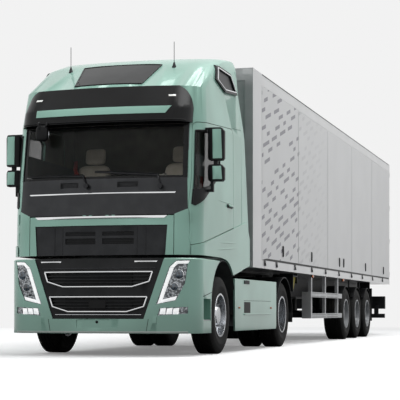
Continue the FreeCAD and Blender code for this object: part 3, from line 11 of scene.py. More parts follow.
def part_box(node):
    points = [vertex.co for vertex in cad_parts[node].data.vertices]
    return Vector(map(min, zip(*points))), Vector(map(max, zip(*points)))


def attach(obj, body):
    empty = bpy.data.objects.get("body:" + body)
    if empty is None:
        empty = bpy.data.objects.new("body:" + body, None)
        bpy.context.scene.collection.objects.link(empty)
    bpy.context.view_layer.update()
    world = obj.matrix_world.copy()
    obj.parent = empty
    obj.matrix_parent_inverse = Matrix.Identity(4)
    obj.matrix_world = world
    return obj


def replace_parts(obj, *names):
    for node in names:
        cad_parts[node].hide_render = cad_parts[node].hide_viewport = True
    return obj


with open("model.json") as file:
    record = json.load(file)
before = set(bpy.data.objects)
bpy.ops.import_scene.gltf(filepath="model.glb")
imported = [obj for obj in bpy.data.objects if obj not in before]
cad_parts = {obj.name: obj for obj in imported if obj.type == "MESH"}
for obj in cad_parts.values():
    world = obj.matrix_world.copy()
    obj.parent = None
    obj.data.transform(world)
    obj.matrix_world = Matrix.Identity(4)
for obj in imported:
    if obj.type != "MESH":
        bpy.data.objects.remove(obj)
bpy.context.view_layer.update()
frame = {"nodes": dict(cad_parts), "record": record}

NODES = frame["nodes"]
scene = bpy.context.scene


# The stand for the picture: a pale seamless paper floor that keeps the shadow, pale air, soft
# square lamps, and a long lens at knee height in front of the lorry and to its left. The lens is
# level and its picture plane is shifted up, so that upright edges stay parallel.
PAPER = "#f2f2f2"
FLOOR_CLEAR, FLOOR_END = 13.0, 24.0   # metres from the middle where the paper's fade starts, ends
FLOOR_HALF = 80.0

camera_data = bpy.data.cameras.new("studio_camera")
camera_data.sensor_width = 36.0
camera_data.lens = 123.2
camera_data.shift_y = 0.2757
camera_data.clip_end = 400.0
camera = bpy.data.objects.new("studio_camera", camera_data)
camera.location = (5.883, -24.146, 0.570)
camera.rotation_euler = (math.radians(90.0), 0.0, math.radians(15.99))
scene.collection.objects.link(camera)
scene.camera = camera
scene.view_settings.view_transform = "Standard"


def linear(code):
    """An sRGB hex colour as a linear colour with alpha."""
    parts = np.array([int(code[i:i + 2], 16) for i in (1, 3, 5)]) / 255.0
    curve = np.where(parts <= 0.04045, parts / 12.92, ((parts + 0.055) / 1.055) ** 2.4)
    return (*[float(v) for v in curve], 1.0)


def add(tree, kind, inputs=None, **settings):
    """Add one node: settings are its properties, inputs its sockets' values or links, where a
    node stands for its first output."""
    node = tree.nodes.new("ShaderNode" + kind)
    for name, value in settings.items():
        setattr(node, name, value)
    for name, value in (inputs or {}).items():
        value = value.outputs[0] if isinstance(value, bpy.types.Node) else value
        if isinstance(value, bpy.types.NodeSocket):
            tree.links.new(value, node.inputs[name])
        else:
            node.inputs[name].default_value = value
    return node


def material(name, **surface):
    """An empty node material with its shader's own values set; returns it, its tree and shader."""
    made = bpy.data.materials.new(name)
    made.use_nodes = True
    tree = made.node_tree
    tree.nodes.clear()
    shader = add(tree, "BsdfPrincipled", {
        key.replace("_", " "): linear(value) if isinstance(value, str) else value
        for key, value in surface.items()})
    add(tree, "OutputMaterial", {"Surface": shader})
    return made, tree, shader


def lamp(name, place, aim, size, power, mirrored=False):
    """A soft square lamp that looks at a point; only a mirrored one shows in gloss."""
    data = bpy.data.lights.new(name, "AREA")
    data.size = size
    data.energy = power
    thing = bpy.data.objects.new(name, data)
    thing.location = place
    thing.rotation_euler = (Vector(aim) - Vector(place)).to_track_quat("-Z", "Y").to_euler()
    scene.collection.objects.link(thing)
    thing.visible_glossy = mirrored


world = bpy.data.worlds.new("studio_air")
scene.world = world
world.use_nodes = True
air = world.node_tree
air.nodes.clear()
ray = add(air, "LightPath").outputs
seen_or_clear = add(air, "Math", {0: ray["Is Camera Ray"], 1: ray["Is Transmission Ray"]},
                    operation="MAXIMUM")
seen_or_gloss = add(air, "Math", {0: seen_or_clear, 1: ray["Is Glossy Ray"]},
                    operation="MAXIMUM")
air_mix = add(air, "MixShader", {
    "Fac": seen_or_gloss,
    1: add(air, "Background", {"Color": linear("#e9eef2"), "Strength": 0.20}),
    2: add(air, "Background", {"Color": linear(PAPER), "Strength": 1.0})})
add(air, "OutputWorld", {"Surface": air_mix})

paper, tree, shader = material("floor_paper", Roughness=0.9, Specular_IOR_Level=0.0,
                               Emission_Color=PAPER)
seen = add(tree, "LightPath").outputs["Is Camera Ray"]
bounce = add(tree, "Mix", {"Factor": seen, "A": linear("#6a6a6a"), "B": linear("#ffffff")},
             data_type="RGBA")
lift = add(tree, "Math", {0: seen, 1: 0.22}, operation="MULTIPLY")
tree.links.new(bounce.outputs["Result"], shader.inputs["Base Color"])
tree.links.new(lift.outputs[0], shader.inputs["Emission Strength"])
away = add(tree, "VectorMath", {0: add(tree, "TexCoord").outputs["Object"]}, operation="LENGTH")
fade = add(tree, "MapRange", {"Value": away.outputs["Value"], "From Min": FLOOR_CLEAR,
                              "From Max": FLOOR_END}, interpolation_type="SMOOTHSTEP")
paper_mix = add(tree, "MixShader", {
    "Fac": fade, 1: shader, 2: add(tree, "Emission", {"Color": linear(PAPER), "Strength": 1.0})})
paper_out = [n for n in tree.nodes if n.type == "OUTPUT_MATERIAL"][0]
tree.links.new(paper_mix.outputs[0], paper_out.inputs["Surface"])
floor_mesh = bpy.data.meshes.new("studio_floor")
floor_mesh.from_pydata([(x * FLOOR_HALF, y * FLOOR_HALF, 0) for x, y in
                        ((-1, -1), (1, -1), (1, 1), (-1, 1))], [], [(0, 1, 2, 3)])
floor_mesh.materials.append(paper)
floor = bpy.data.objects.new("studio_floor", floor_mesh)
scene.collection.objects.link(floor)

lamp("sky_softbox", (6.0, -2.0, 19.0), (0.0, 0.0, 0.0), 16.0, 3500.0, True)
lamp("side_softbox", (22.0, 3.0, 12.0), (0.0, 0.5, 2.6), 10.0, 950.0)
lamp("front_softbox", (-6.0, -24.0, 9.0), (0.0, -8.0, 1.9), 7.0, 1400.0)
lamp("rear_softbox", (-20.0, 14.0, 11.0), (0.0, 2.0, 2.0), 12.0, 1500.0)


# Painted bodywork of the tractor: pressed steel cab shell, doors and hatch, moulded plastic
# bumper, skirts and fins, all sprayed in one mint pearl under a clear lacquer. Edges are folded
# or moulded round, and the cab's inner walls are lined with grey moulded trim.
# The grey that the paint is mixed with low down stands partly for road dust and partly for painted
# shade on the lower sides.
MINT, MINT_DEEP, ROAD_DUST_AND_SHADE = "#95c1b2", "#87b1a2", "#6d7a72"
LINING = "#6f6c66"
FLAKE_MM = 0.6        # mica flakes are finer, drawn this coarse so that they show near by
ORANGE_PEEL_MM = 9.0  # the lacquer's faint ripple
SIDES = (("left", 1.0), ("right", -1.0))

FRONT_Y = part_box("front_bumper")[0][1]     # the bumper's front face: y counts from here
BODY_OF = {node: body for body, nodes in frame["record"]["behaviour"]["bodies"].items()
           for node in nodes}


def cells(tree, size_mm, stretch=(1.0, 1.0, 1.0), turn=0.0):
    """The piece's own coordinates, counted in cells of size_mm and turned about the vertical."""
    return add(tree, "Mapping", {"Vector": add(tree, "TexCoord").outputs["Object"],
                                 "Rotation": (0.0, 0.0, turn),
                                 "Scale": tuple(1000.0 / size_mm * s for s in stretch)})


def object_noise(tree, spread_mm, detail=2.0, stretch=(1.0, 1.0, 1.0)):
    """Smooth noise in the piece's own space, its cells about spread_mm wide."""
    return add(tree, "TexNoise", {"Vector": cells(tree, spread_mm, stretch), "Scale": 1.0,
                                  "Detail": detail}).outputs["Fac"]


def varied(tree, amount, low, high):
    """A colour that runs from low to high as the amount runs over its middle range."""
    share = add(tree, "MapRange", {"Value": amount, "From Min": 0.35, "From Max": 0.65})
    return add(tree, "Mix", {"Factor": share, "A": linear(low), "B": linear(high)},
               data_type="RGBA").outputs["Result"]


def finished(parts, tone, grain=None, rough=None, deep_mm=None, relief=None, strength=1.0):
    """Link a material's colour. Its grain, from 0 to 1, runs the roughness between two values,
    and the relief, or else the grain, raises the surface by deep_mm. Returns the material."""
    made, tree, shader = parts
    links = {"Base Color": tone}
    if rough:
        links["Roughness"] = add(tree, "MapRange", {"Value": grain, "To Min": rough[0],
                                                    "To Max": rough[1]}).outputs[0]
    if deep_mm is not None:
        links["Normal"] = add(tree, "Bump", {"Height": relief or grain, "Strength": strength,
                                             "Distance": deep_mm / 1000.0}).outputs[0]
    for socket, value in links.items():
        tree.links.new(value, shader.inputs[socket])
    return made


def pearl_paint(name, colour, deep):
    """Pearl lacquer: the colour deepens softly over half a metre; low down it is dulled towards
    grey, partly road dust and partly painted shade for the lower sides.
    """
    parts = material(name, Metallic=0.1, IOR=1.5, Specular_IOR_Level=0.3, Coat_Weight=0.55,
                     Coat_Roughness=0.05)
    tree = parts[1]
    tone = varied(tree, object_noise(tree, 700.0, 1.0), deep, colour)
    height = add(tree, "SeparateXYZ", {0: add(tree, "TexCoord").outputs["Object"]}).outputs["Z"]
    # Darker towards the bottom, from 0.75 m down to 0.28 m: painted shade on the lower sides
    # together with road dust.
    low = add(tree, "MapRange", {"Value": height, "From Min": 0.75, "From Max": 0.28,
                                 "To Min": 0.0, "To Max": 0.35})
    dust_and_shade = add(tree, "Mix", {"Factor": low, "A": tone, "B": linear(ROAD_DUST_AND_SHADE)},
                data_type="RGBA").outputs["Result"]
    return finished(parts, dust_and_shade, object_noise(tree, FLAKE_MM, 0.0), (0.28, 0.42), 0.05,
                    object_noise(tree, ORANGE_PEEL_MM, 0.0))


def moulded(name, colour, worn, rough, grain_mm=1.6, grain_deep=0.12):
    """Moulded plastic with a fine leather-like grain, a little paler where it is handled."""
    parts = material(name, IOR=1.5, Specular_IOR_Level=0.22)
    tree = parts[1]
    return finished(parts, varied(tree, object_noise(tree, 180.0, 3.0), colour, worn),
                    object_noise(tree, grain_mm, 2.0), (rough - 0.07, rough + 0.07), grain_deep)


def metal(name, colour, worn, rough, metallic=1.0, streak=(1.0, 1.0, 1.0), grain_mm=2.0,
          grain_deep=0.05):
    """Bare or thinly coated metal: streak stretches its grain along the way it was worked."""
    parts = material(name, Metallic=metallic)
    tree = parts[1]
    return finished(parts, varied(tree, object_noise(tree, 260.0, 3.0), colour, worn),
                    object_noise(tree, grain_mm, 2.0, streak), (rough - 0.06, rough + 0.08),
                    grain_deep)


mint_lacquer = pearl_paint("mint_pearl_lacquer", MINT, MINT_DEEP)
lining_trim = moulded("lining_moulded_abs", LINING, "#7d7a73", 0.62)
black_plastic = moulded("black_grained_pp", "#0a0b0c", "#131416", 0.5)
charcoal_plastic = moulded("charcoal_grained_pp", "#2b2c2e", "#333436", 0.46)


def finish_node(name, made):
    """Give a carried-over node one finish."""
    NODES[name].data.materials.clear()
    NODES[name].data.materials.append(made)


def placed(name, mesh, body, crease, round_mm):
    """A mesh as a piece on its body: smooth up to the crease angle, its edges rounded."""
    mesh.shade_smooth()
    mesh.set_sharp_from_angle(angle=math.radians(crease))
    thing = bpy.data.objects.new(name, mesh)
    scene.collection.objects.link(thing)
    if round_mm:
        bevel = thing.modifiers.new("rounded_edges", "BEVEL")
        bevel.width = round_mm / 1000.0
        bevel.segments = 2
        bevel.limit_method = "ANGLE"
        bevel.angle_limit = math.radians(crease)
    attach(thing, body)
    return thing


def refined(name, finishes, choose=None, round_mm=3.0, crease=30.0):
    """A copy of a node with its triangles merged, flat areas joined, edges rounded and the rest
    shaded smooth. choose gives each face's finish from face centres and normals."""
    form = bmesh.new()
    form.from_mesh(NODES[name].data)
    bmesh.ops.remove_doubles(form, verts=form.verts, dist=0.00004)
    bmesh.ops.dissolve_limit(form, angle_limit=math.radians(0.7), verts=form.verts,
                             edges=form.edges)
    mesh = bpy.data.meshes.new(name + "_finished")
    form.to_mesh(mesh)
    form.free()
    thing = placed(name + "_finished", mesh, BODY_OF[name], crease, round_mm)
    if round_mm:
        thing.modifiers["rounded_edges"].harden_normals = True
    mesh.materials.clear()
    for made in finishes:
        mesh.materials.append(made)
    if choose is not None:
        count = len(mesh.polygons)
        centres, normals = np.empty(count * 3), np.empty(count * 3)
        mesh.polygons.foreach_get("center", centres)
        mesh.polygons.foreach_get("normal", normals)
        chosen = choose(centres.reshape(-1, 3) - (0.0, FRONT_Y, 0.0), normals.reshape(-1, 3))
        mesh.polygons.foreach_set("material_index", np.asarray(chosen, dtype=np.int32))
    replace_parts(thing, name)


def inside_cab(centres, normals):
    """1 for faces that look towards the middle of the cab, 0 for those that look out."""
    middle = np.array([0.0, 1.45, 2.35])
    towards = np.einsum("ij,ij->i", normals, centres - middle)
    near_skin = np.abs(centres[:, 0]) < 1.215
    return ((towards < 0.0) & near_skin).astype(int)


for name in ("cab_shell", "door_left", "door_right"):
    refined(name, [mint_lacquer, lining_trim], inside_cab)
for name, inner in (
        ("side_fins", lambda c, n: np.sign(c[:, 0]) * n[:, 0] < -0.5),
        ("front_bumper", lambda c, n: (((np.sign(c[:, 0]) * n[:, 0] < -0.3) & (c[:, 1] > 0.3))
                                       | ((n[:, 1] > 0.3) & (np.abs(c[:, 0]) < 1.13)))),
        ("side_skirts", lambda c, n: np.sign(c[:, 0]) * n[:, 0] < -0.3)):
    refined(name, [mint_lacquer, black_plastic], inner)


# Bright and dark trim on the cab's front: chromed strips over and under the cowl, the cowl panel
# itself and the wipers, all clipped or screwed to the painted sheet and following its curve.
CHROME = "#f1f2f3"
VIEWS = {"front": ((0.0, 1.0, 0.0), (0, 2)), "rear": ((0.0, -1.0, 0.0), (0, 2)),
         "left": ((-1.0, 0.0, 0.0), (1, 2)), "right": ((1.0, 0.0, 0.0), (1, 2)),
         "top": ((0.0, 0.0, -1.0), (0, 1))}


def grid_faces(rows, columns, wrap_rows=False, wrap_columns=False):
    """Four-sided faces over a grid of points listed row by row; wrap closes it on itself."""
    r, c = np.meshgrid(np.arange(rows if wrap_rows else rows - 1),
                       np.arange(columns if wrap_columns else columns - 1), indexing="ij")
    r, c = r.ravel(), c.ravel()
    r1, c1 = (r + 1) % rows, (c + 1) % columns
    return np.stack([r * columns + c, r * columns + c1, r1 * columns + c1, r1 * columns + c],
                    axis=1)


def joined(parts):
    """A list of surfaces, each a (points, faces) pair, as one pair; one pair stays itself."""
    if isinstance(parts, tuple):
        return parts
    starts = np.cumsum([0] + [len(points) for points, faces in parts])
    return (np.concatenate([points for points, faces in parts]),
            np.concatenate([faces + start for (points, faces), start in zip(parts, starts)]))


def piece(name, body, surface, made, crease=35.0, round_mm=0.0):
    """A closed mesh from one or more surfaces, in metres with y counted from the bumper's face."""
    points, faces = joined(surface)
    mesh = bpy.data.meshes.new(name)
    mesh.from_pydata((points + (0.0, FRONT_Y, 0.0)).tolist(), [],
                     [list(dict.fromkeys(face)) for face in faces.tolist()])
    form = bmesh.new()
    form.from_mesh(mesh)
    bmesh.ops.remove_doubles(form, verts=form.verts, dist=0.000005)
    bmesh.ops.recalc_face_normals(form, faces=form.faces)
    form.to_mesh(mesh)
    form.free()
    mesh.materials.append(made)
    return placed(name, mesh, body, crease, round_mm)


def along(line, count):
    """Points spaced evenly by length along a run of straight pieces."""
    line = np.asarray(line, float)
    reach = np.concatenate([[0.0], np.cumsum(np.linalg.norm(np.diff(line, axis=0), axis=1))])
    t = np.linspace(0.0, reach[-1], count)
    return np.stack([np.interp(t, reach, line[:, k]) for k in range(line.shape[1])], axis=1)


def around(corners, count):
    """Points along the closed line through some corners, count less one on each side."""
    return np.concatenate([along([corners[i - 1], corners[i]], count)[:-1]
                           for i in list(range(1, len(corners))) + [0]])


def ruled(lower, upper, across=24, up=5):
    """The surface between two lines: p(u, v) = (1 - v) lower(u) + v upper(u)."""
    v = np.linspace(0.0, 1.0, up)[:, None, None]
    return (1.0 - v) * along(lower, across)[None] + v * along(upper, across)[None]


def oblong(x0, x1, z0, z1, across=24, up=5):
    """The flat grid between two corners: p(u, v) = (x0 + u (x1 - x0), z0 + v (z1 - z0))."""
    return ruled([(x0, z0), (x1, z0)], [(x0, z1), (x1, z1)], across, up)


def skin_of(*names):
    """A search tree over the named sub-parts' own meshes, y counted from the bumper's face."""
    points, faces = [], []
    for name in names:
        mesh = NODES[name].data
        spots = np.empty(len(mesh.vertices) * 3)
        mesh.vertices.foreach_get("co", spots)
        faces += [[v + len(points) for v in face.vertices] for face in mesh.polygons]
        points += (spots.reshape(-1, 3) - (0.0, FRONT_Y, 0.0)).tolist()
    return BVHTree.FromPolygons(points, faces)


def draped(flat, view, skin, lift=0.0):
    """Flat points carried straight along a view until they meet a skin, standing off by lift."""
    ahead, plane = VIEWS[view]
    flat = np.asarray(flat, float)
    starts = np.tile(np.array(ahead) * -30.0, (flat.reshape(-1, 2).shape[0], 1))
    starts[:, plane] = flat.reshape(-1, 2)
    hits = [skin.ray_cast(start, ahead)[3] for start in starts.tolist()]
    depth = np.array([np.nan if hit is None else hit for hit in hits])
    lost = np.isnan(depth)
    if lost.any():
        depth[lost] = np.interp(np.flatnonzero(lost), np.flatnonzero(~lost), depth[~lost])
    points = starts + np.array(ahead) * (depth - lift)[:, None]
    return points.reshape(*flat.shape[:-1], 3)


def slab_between(outer, inner):
    """Two grids of the same size joined round the rim into one closed sheet."""
    rows, columns = outer.shape[:2]
    faces = grid_faces(rows, columns)
    index = np.arange(rows * columns).reshape(rows, columns)
    rim = np.concatenate([index[0, :-1], index[:-1, -1], index[-1, :0:-1], index[:0:-1, 0]])
    nxt = np.roll(rim, -1)
    side = np.stack([rim, nxt, nxt + rows * columns, rim + rows * columns], axis=1)
    return (np.concatenate([outer.reshape(-1, 3), inner.reshape(-1, 3)]),
            np.concatenate([faces, faces[:, ::-1] + rows * columns, side]))


def plate(flat, view, skin, thick=0.003, lift=0.0, crown=0.0):
    """A plate on a skin: the flat grid draped twice, thick apart; crown bulges its middle."""
    rows, columns = flat.shape[:2]
    u = np.sin(np.pi * np.linspace(0.0, 1.0, columns))[None, :]
    v = np.sin(np.pi * np.linspace(0.0, 1.0, rows))[:, None]
    base = draped(flat, view, skin, lift)
    return slab_between(base - np.array(VIEWS[view][0]) * (thick + crown * u * v)[..., None],
                        base)


def both(surface):
    """Surfaces and their mirror images on the other side of the lorry."""
    points, faces = joined(surface)
    return joined([(points, faces), (points * (-1.0, 1.0, 1.0), faces[:, ::-1])])


def swept(path, radius, sides=8, flat=1.0, up=(0.0, 0.0, 1.0), closed=False, taper=None):
    """A ring, or with flat an ellipse, carried along a path: p(s, t) = path(s) + k(s) radius
    (cos t side + flat sin t top), where side is square to the path and to up, and k tapers."""
    t = np.linspace(0.0, 2.0 * np.pi, sides, endpoint=False)
    profile = np.stack([radius * np.cos(t), radius * flat * np.sin(t)], axis=1)
    path = np.asarray(path, float)
    ahead = np.roll(path, -1, axis=0) - np.roll(path, 1, axis=0) if closed \
        else np.gradient(path, axis=0)
    ahead /= np.linalg.norm(ahead, axis=1, keepdims=True)
    side = np.cross(ahead, np.asarray(up, float))
    side /= np.linalg.norm(side, axis=1, keepdims=True)
    top = np.cross(side, ahead)
    k = np.ones(len(path)) if taper is None else np.asarray(taper, float)
    points = path[:, None] + k[:, None, None] * (profile[None, :, :1] * side[:, None]
                                                 + profile[None, :, 1:] * top[:, None])
    rows, columns = points.shape[:2]
    faces = grid_faces(rows, columns, wrap_rows=closed, wrap_columns=True)
    points = points.reshape(-1, 3)
    if closed:
        return points, faces
    ends = np.stack([path[0], path[-1]])
    c = np.arange(columns)
    c1 = (c + 1) % columns
    last = (rows - 1) * columns
    hub = np.full(columns, rows * columns)
    first_cap = np.stack([c1, c, hub, hub], axis=1)
    last_cap = np.stack([c + last, c1 + last, hub + 1, hub + 1], axis=1)
    return np.concatenate([points, ends]), np.concatenate([faces, first_cap, last_cap])


def turned(profile, centre, axis="x", steps=48):
    """A line of (along, radius) turned about an axis: p(i, a) = c + along_i axis + radius_i
    (cos a, sin a) in the plane square to the axis."""
    profile = np.asarray(profile, float)
    a = np.linspace(0.0, 2.0 * np.pi, steps, endpoint=False)
    k = "xyz".index(axis)
    points = np.zeros((len(profile), steps, 3))
    points[..., k] = profile[:, :1]
    points[..., (k + 1) % 3] = profile[:, 1:] * np.cos(a)
    points[..., (k + 2) % 3] = profile[:, 1:] * np.sin(a)
    return (points + np.asarray(centre, float)).reshape(-1, 3), \
        grid_faces(len(profile), steps, wrap_columns=True)


def block(x0, x1, y0, y1, z0, z1):
    """A small squared bar; its edges are rounded where the piece is made."""
    points = np.array([(x, y, z) for x in (x0, x1) for y in (y0, y1) for z in (z0, z1)])
    faces = np.array([(0, 1, 3, 2), (4, 6, 7, 5), (0, 4, 5, 1), (2, 3, 7, 6), (0, 2, 6, 4),
                      (1, 5, 7, 3)])
    return points, faces


def strip(half_low, half_high, low, high, across=40):
    """Flat outline of a level strip across the front, its ends cut on a slant."""
    return ruled([(-half_low, low), (half_low, low)], [(-half_high, high), (half_high, high)],
                 across)


chrome = metal("chromed_zinc", CHROME, "#e6e8ea", 0.1, grain_deep=0.0)
satin_chrome = metal("satin_chromed_abs", "#d3d6d9", "#c6c9cc", 0.24, grain_deep=0.0)
cowl_lacquer = moulded("charcoal_lacquer", "#343537", "#3c3d3f", 0.3, 2.4, 0.03)
cowl_skin = skin_of("cowl_panel", "cab_shell", "front_hatch")

refined("cowl_panel", [cowl_lacquer, black_plastic],
        lambda c, n: (c[:, 2] > 2.07) & (c[:, 2] < 2.185) & (np.abs(c[:, 0]) < 0.56)
        & (n[:, 1] > -0.97))
for number, (x0, x1) in enumerate(((-0.53, -0.29), (0.23, 0.49))):
    piece("cowl_vent_fins_%d" % number, "cab", [
        plate(oblong(x0, x1, z, z + 0.006, 8, 2), "front", cowl_skin, 0.007)
        for z in (2.104, 2.119, 2.134, 2.149)], black_plastic)
piece("cowl_strip_high", "cab", plate(strip(0.955, 0.97, 2.012, 2.030), "front", cowl_skin,
                                      0.006, crown=0.003), chrome, round_mm=1.5)
piece("cowl_strip_low", "hatch", plate(strip(0.835, 0.875, 1.706, 1.738), "front",
                                       skin_of("front_hatch"), 0.010, crown=0.005), chrome,
      round_mm=1.5)


def wiper(pivot, elbow, tip):
    """One wiper: a bent arm that tapers, and a flat blade that lies across the glass."""
    glass = skin_of("windscreen", "cowl_panel", "cab_shell")
    arm = draped(along([pivot, elbow], 12), "front", glass, 0.026)
    hand = draped(along([elbow, tip], 24), "front", glass, 0.024)
    blade = draped(along([(elbow[0] + 0.02, elbow[1] - 0.02), (tip[0] - 0.03, tip[1] - 0.012)],
                         40), "front", glass, 0.009)
    return [swept(arm, 0.013, 8, 0.6, taper=np.linspace(1.25, 0.9, 12)),
            swept(hand, 0.011, 8, 0.45, taper=np.linspace(1.0, 0.6, 24)),
            swept(blade, 0.009, 8, 1.5),
            turned([(0.03, 0.0), (0.03, 0.022), (0.012, 0.03), (-0.04, 0.03), (-0.04, 0.0)],
                   arm[0], "y", 20)]


wiper_metal = metal("wiper_black_steel", "#141517", "#222326", 0.42, 0.4)
for side, pivot, elbow, tip in (
        ("right", (-0.164, 2.115), (-0.23, 2.262), (-0.975, 2.270)),
        ("left", (0.783, 2.100), (0.731, 2.258), (-0.044, 2.305))):
    piece("wiper_" + side, "cab", wiper(pivot, elbow, tip), wiper_metal)


# Windscreen and door windows: laminated and toughened glass with a faint green tint, bonded with
# a black baked border, and the gloss black sun visor on the brow with its inlaid mint band.
def tinted_glass(name, tint, clear):
    """Thin tinted glass: it lets the inside show straight through and turns bright and shiny
    where it is seen at a slant."""
    made, tree, shader = material(name, Base_Color=tint, IOR=1.5, Roughness=0.02,
                                  Specular_IOR_Level=0.3, Coat_Weight=0.3, Coat_Roughness=0.0)
    slant = add(tree, "LayerWeight", {"Blend": 0.35}).outputs["Facing"]
    hold = add(tree, "Math", {
        0: add(tree, "MapRange", {"Value": slant, "To Min": 1.0 - clear, "To Max": 1.0}),
        1: add(tree, "MapRange", {"Value": object_noise(tree, 420.0, 3.0), "To Min": -0.015,
                                  "To Max": 0.015})})
    tree.links.new(hold.outputs[0], shader.inputs["Alpha"])
    return made


finish_node("windscreen", tinted_glass("laminated_screen_glass", "#161c1a", 0.93))
door_tint = tinted_glass("toughened_door_glass", "#151b19", 0.88)
finish_node("door_glass_left", door_tint)
finish_node("door_glass_right", door_tint)
border = moulded("black_baked_border", "#0c0d0e", "#131415", 0.22, 3.0, 0.0)
screen_skin = skin_of("windscreen", "cab_shell")
edge = ruled([(1.035, 2.207), (1.093, 2.207)], [(1.020, 2.878), (1.080, 2.878)], 5, 30)
piece("windscreen_border", "cab", [both(plate(edge, "front", screen_skin, 0.001))] + [
    plate(strip(*outline), "front", screen_skin, thick) for outline, thick in (
        ((1.04, 1.04, 2.207, 2.236), 0.001), ((1.03, 1.03, 2.846, 2.878), 0.001),
        ((1.088, 1.10, 2.880, 2.965), 0.003))], border)
trim_edge = ruled([(1.088, 2.200), (1.101, 2.200)], [(1.076, 2.884), (1.089, 2.884)], 3, 30)
piece("windscreen_side_trim", "cab", both(plate(trim_edge, "front", screen_skin, 0.004)),
      moulded("grey_trim_rubber", "#55595a", "#5e6263", 0.45))

visor_gloss = moulded("visor_gloss_pmma", "#070708", "#0d0e0f", 0.3, 4.0, 0.0)
refined("sun_visor", [visor_gloss, black_plastic],
        lambda c, n: (n[:, 1] > 0.2) | (n[:, 2] < -0.6), round_mm=4.0)
visor_skin = skin_of("sun_visor")
band = ruled([(-0.875, 2.998), (0.835, 2.998)], [(-0.875, 3.092), (0.905, 3.092)], 44, 5)
piece("visor_band", "cab", plate(band, "front", visor_skin, 0.006, crown=0.003), mint_lacquer,
      round_mm=1.5)


def lit_lens(name, spread_mm, low, high, **surface):
    """A clear or opal lamp cover that glows faintly in its own colour."""
    parts = material(name, Coat_Weight=1.0, **surface)
    made, tree, shader = parts
    tone = varied(tree, object_noise(tree, spread_mm), low, high)
    tree.links.new(tone, shader.inputs["Emission Color"])
    return finished(parts, tone)


lamp_glass = lit_lens("marker_lamp_acrylic", 12.0, "#cfd3d4", "#e8e6de", Roughness=0.08,
                      IOR=1.49, Emission_Strength=0.35)
spot_lamp = ruled([(0.845, 3.222), (0.93, 3.222)], [(0.835, 3.246), (0.925, 3.246)], 12, 6)
piece("visor_marker_lamps", "cab", both(plate(spot_lamp, "front", visor_skin, 0.002,
                                              crown=0.008)), lamp_glass)
lip = draped(along([(-1.07, 2.915), (1.07, 2.915)], 60), "front", visor_skin, 0.004)
piece("visor_lower_lip", "cab", swept(lip, 0.007), black_plastic)


# The roof's dark glass hatch in its rubber frame, the antennas' feet and whips, and the framed
# air intakes at the roof's upper rear corners.
roof_skin = skin_of("cab_shell")
smoked_glass = moulded("smoked_roof_glass", "#17191a", "#232526", 0.08, 5.0, 0.0)
opening = ruled([(-0.44, 0.43), (0.44, 0.43)], [(-0.52, 0.98), (0.52, 0.98)], 30, 20)
piece("roof_hatch_glass", "cab", plate(opening, "top", roof_skin, 0.007, crown=0.004),
      smoked_glass, round_mm=2.0)
corners = [(-0.445, 0.42), (0.445, 0.42), (0.53, 0.99), (-0.53, 0.99)]
frame_line = np.concatenate([along([corners[i], corners[(i + 1) % 4]], (24, 16)[i % 2])[:-1]
                             for i in range(4)])
piece("roof_hatch_seal", "cab", swept(draped(frame_line, "top", roof_skin, 0.003), 0.011,
                                      closed=True), black_plastic)
satin_black = metal("satin_black_steel", "#1b1c1e", "#26282a", 0.4, 0.3)
finish_node("roof_fittings", satin_black)
INTAKE_TOP, CAB_BACK = 3.98, 2.38
mouth = np.array([(CAB_BACK - back, INTAKE_TOP - drop) for back, drop in (
    (1.11, 0.41), (0.76, 0.487), (0.21, 0.44), (0.44, 0.258), (1.05, 0.252))])
lining_line = mouth.mean(axis=0) + (around(mouth, 14) - mouth.mean(axis=0)) * 1.035
piece("intake_linings", "cab", both(swept(
    draped(lining_line, "left", skin_of("roof_fittings", "cab_shell"), 0.002), 0.009,
    up=(1, 0, 0), closed=True)), chrome)


# Upper grille: a sunk charcoal panel in the front hatch with two pairs of air slots, each slot
# closed by moulded fins, all one injection-moulded grille clipped into the painted hatch.
def hatch_faces(centres, normals):
    """0 outer paint, 1 the sunk grille, 2 the back."""
    half = 0.8525 + 0.024 * (centres[:, 2] - 1.24) / 0.38
    sunk = (np.abs(centres[:, 0]) < half) & (centres[:, 2] < 1.6235)
    return np.where(normals[:, 1] > 0.35, 2, np.where(sunk, 1, 0))


refined("front_hatch", [mint_lacquer, charcoal_plastic, black_plastic], hatch_faces)
hatch_skin = skin_of("front_hatch")
between = draped(along([(0.043, 1.479), (0.452, 1.479)], 14), "front", hatch_skin)
for row, (low, high, count) in enumerate(((1.390, 1.463, 3), (1.495, 1.545, 2))):
    fins = []
    for level in low + (high - low) * (np.arange(count) + 0.5) / count:
        line = between + (0.0, 0.012, 0.0)
        line[:, 2] = level
        fins.append(swept(line, 0.0045, 6, 3.0))
    piece("grille_fins_%d" % row, "hatch", both(fins), black_plastic)
piece("grille_ribs", "hatch", both([
    plate(oblong(x - 0.004, x + 0.004, 1.262, 1.60, 2, 16), "front", hatch_skin, 0.006)
    for x in (0.49, 0.60)]), charcoal_plastic, round_mm=1.0)


# Lower grille: a dark moulded panel with two wide mouths, each in a chromed frame and crossed by
# fins, a plain radar cover in the lower one, and chromed bars beside and under it.
refined("lower_grille", [moulded("grille_dark_pp", "#1b1c1d", "#232425", 0.42)], round_mm=2.0)
grille_skin = skin_of("lower_grille", "front_bumper")
FRAME_GROW = 0.0085    # the chromed frame's middle lies this far outside the mouth's edge


def mouth_line(top, bottom, half):
    """Closed six-sided line round a mouth, 14 points a side."""
    waist = bottom + (top - bottom) * 0.36
    right = [(half - 0.25 + FRAME_GROW / 2, bottom - FRAME_GROW),
             (half - 0.04 + FRAME_GROW, waist - FRAME_GROW / 2),
             (half + FRAME_GROW, top + FRAME_GROW)]
    left = [(-x, z) for x, z in right]
    return around([left[0]] + right + [left[2], left[1]], 15)


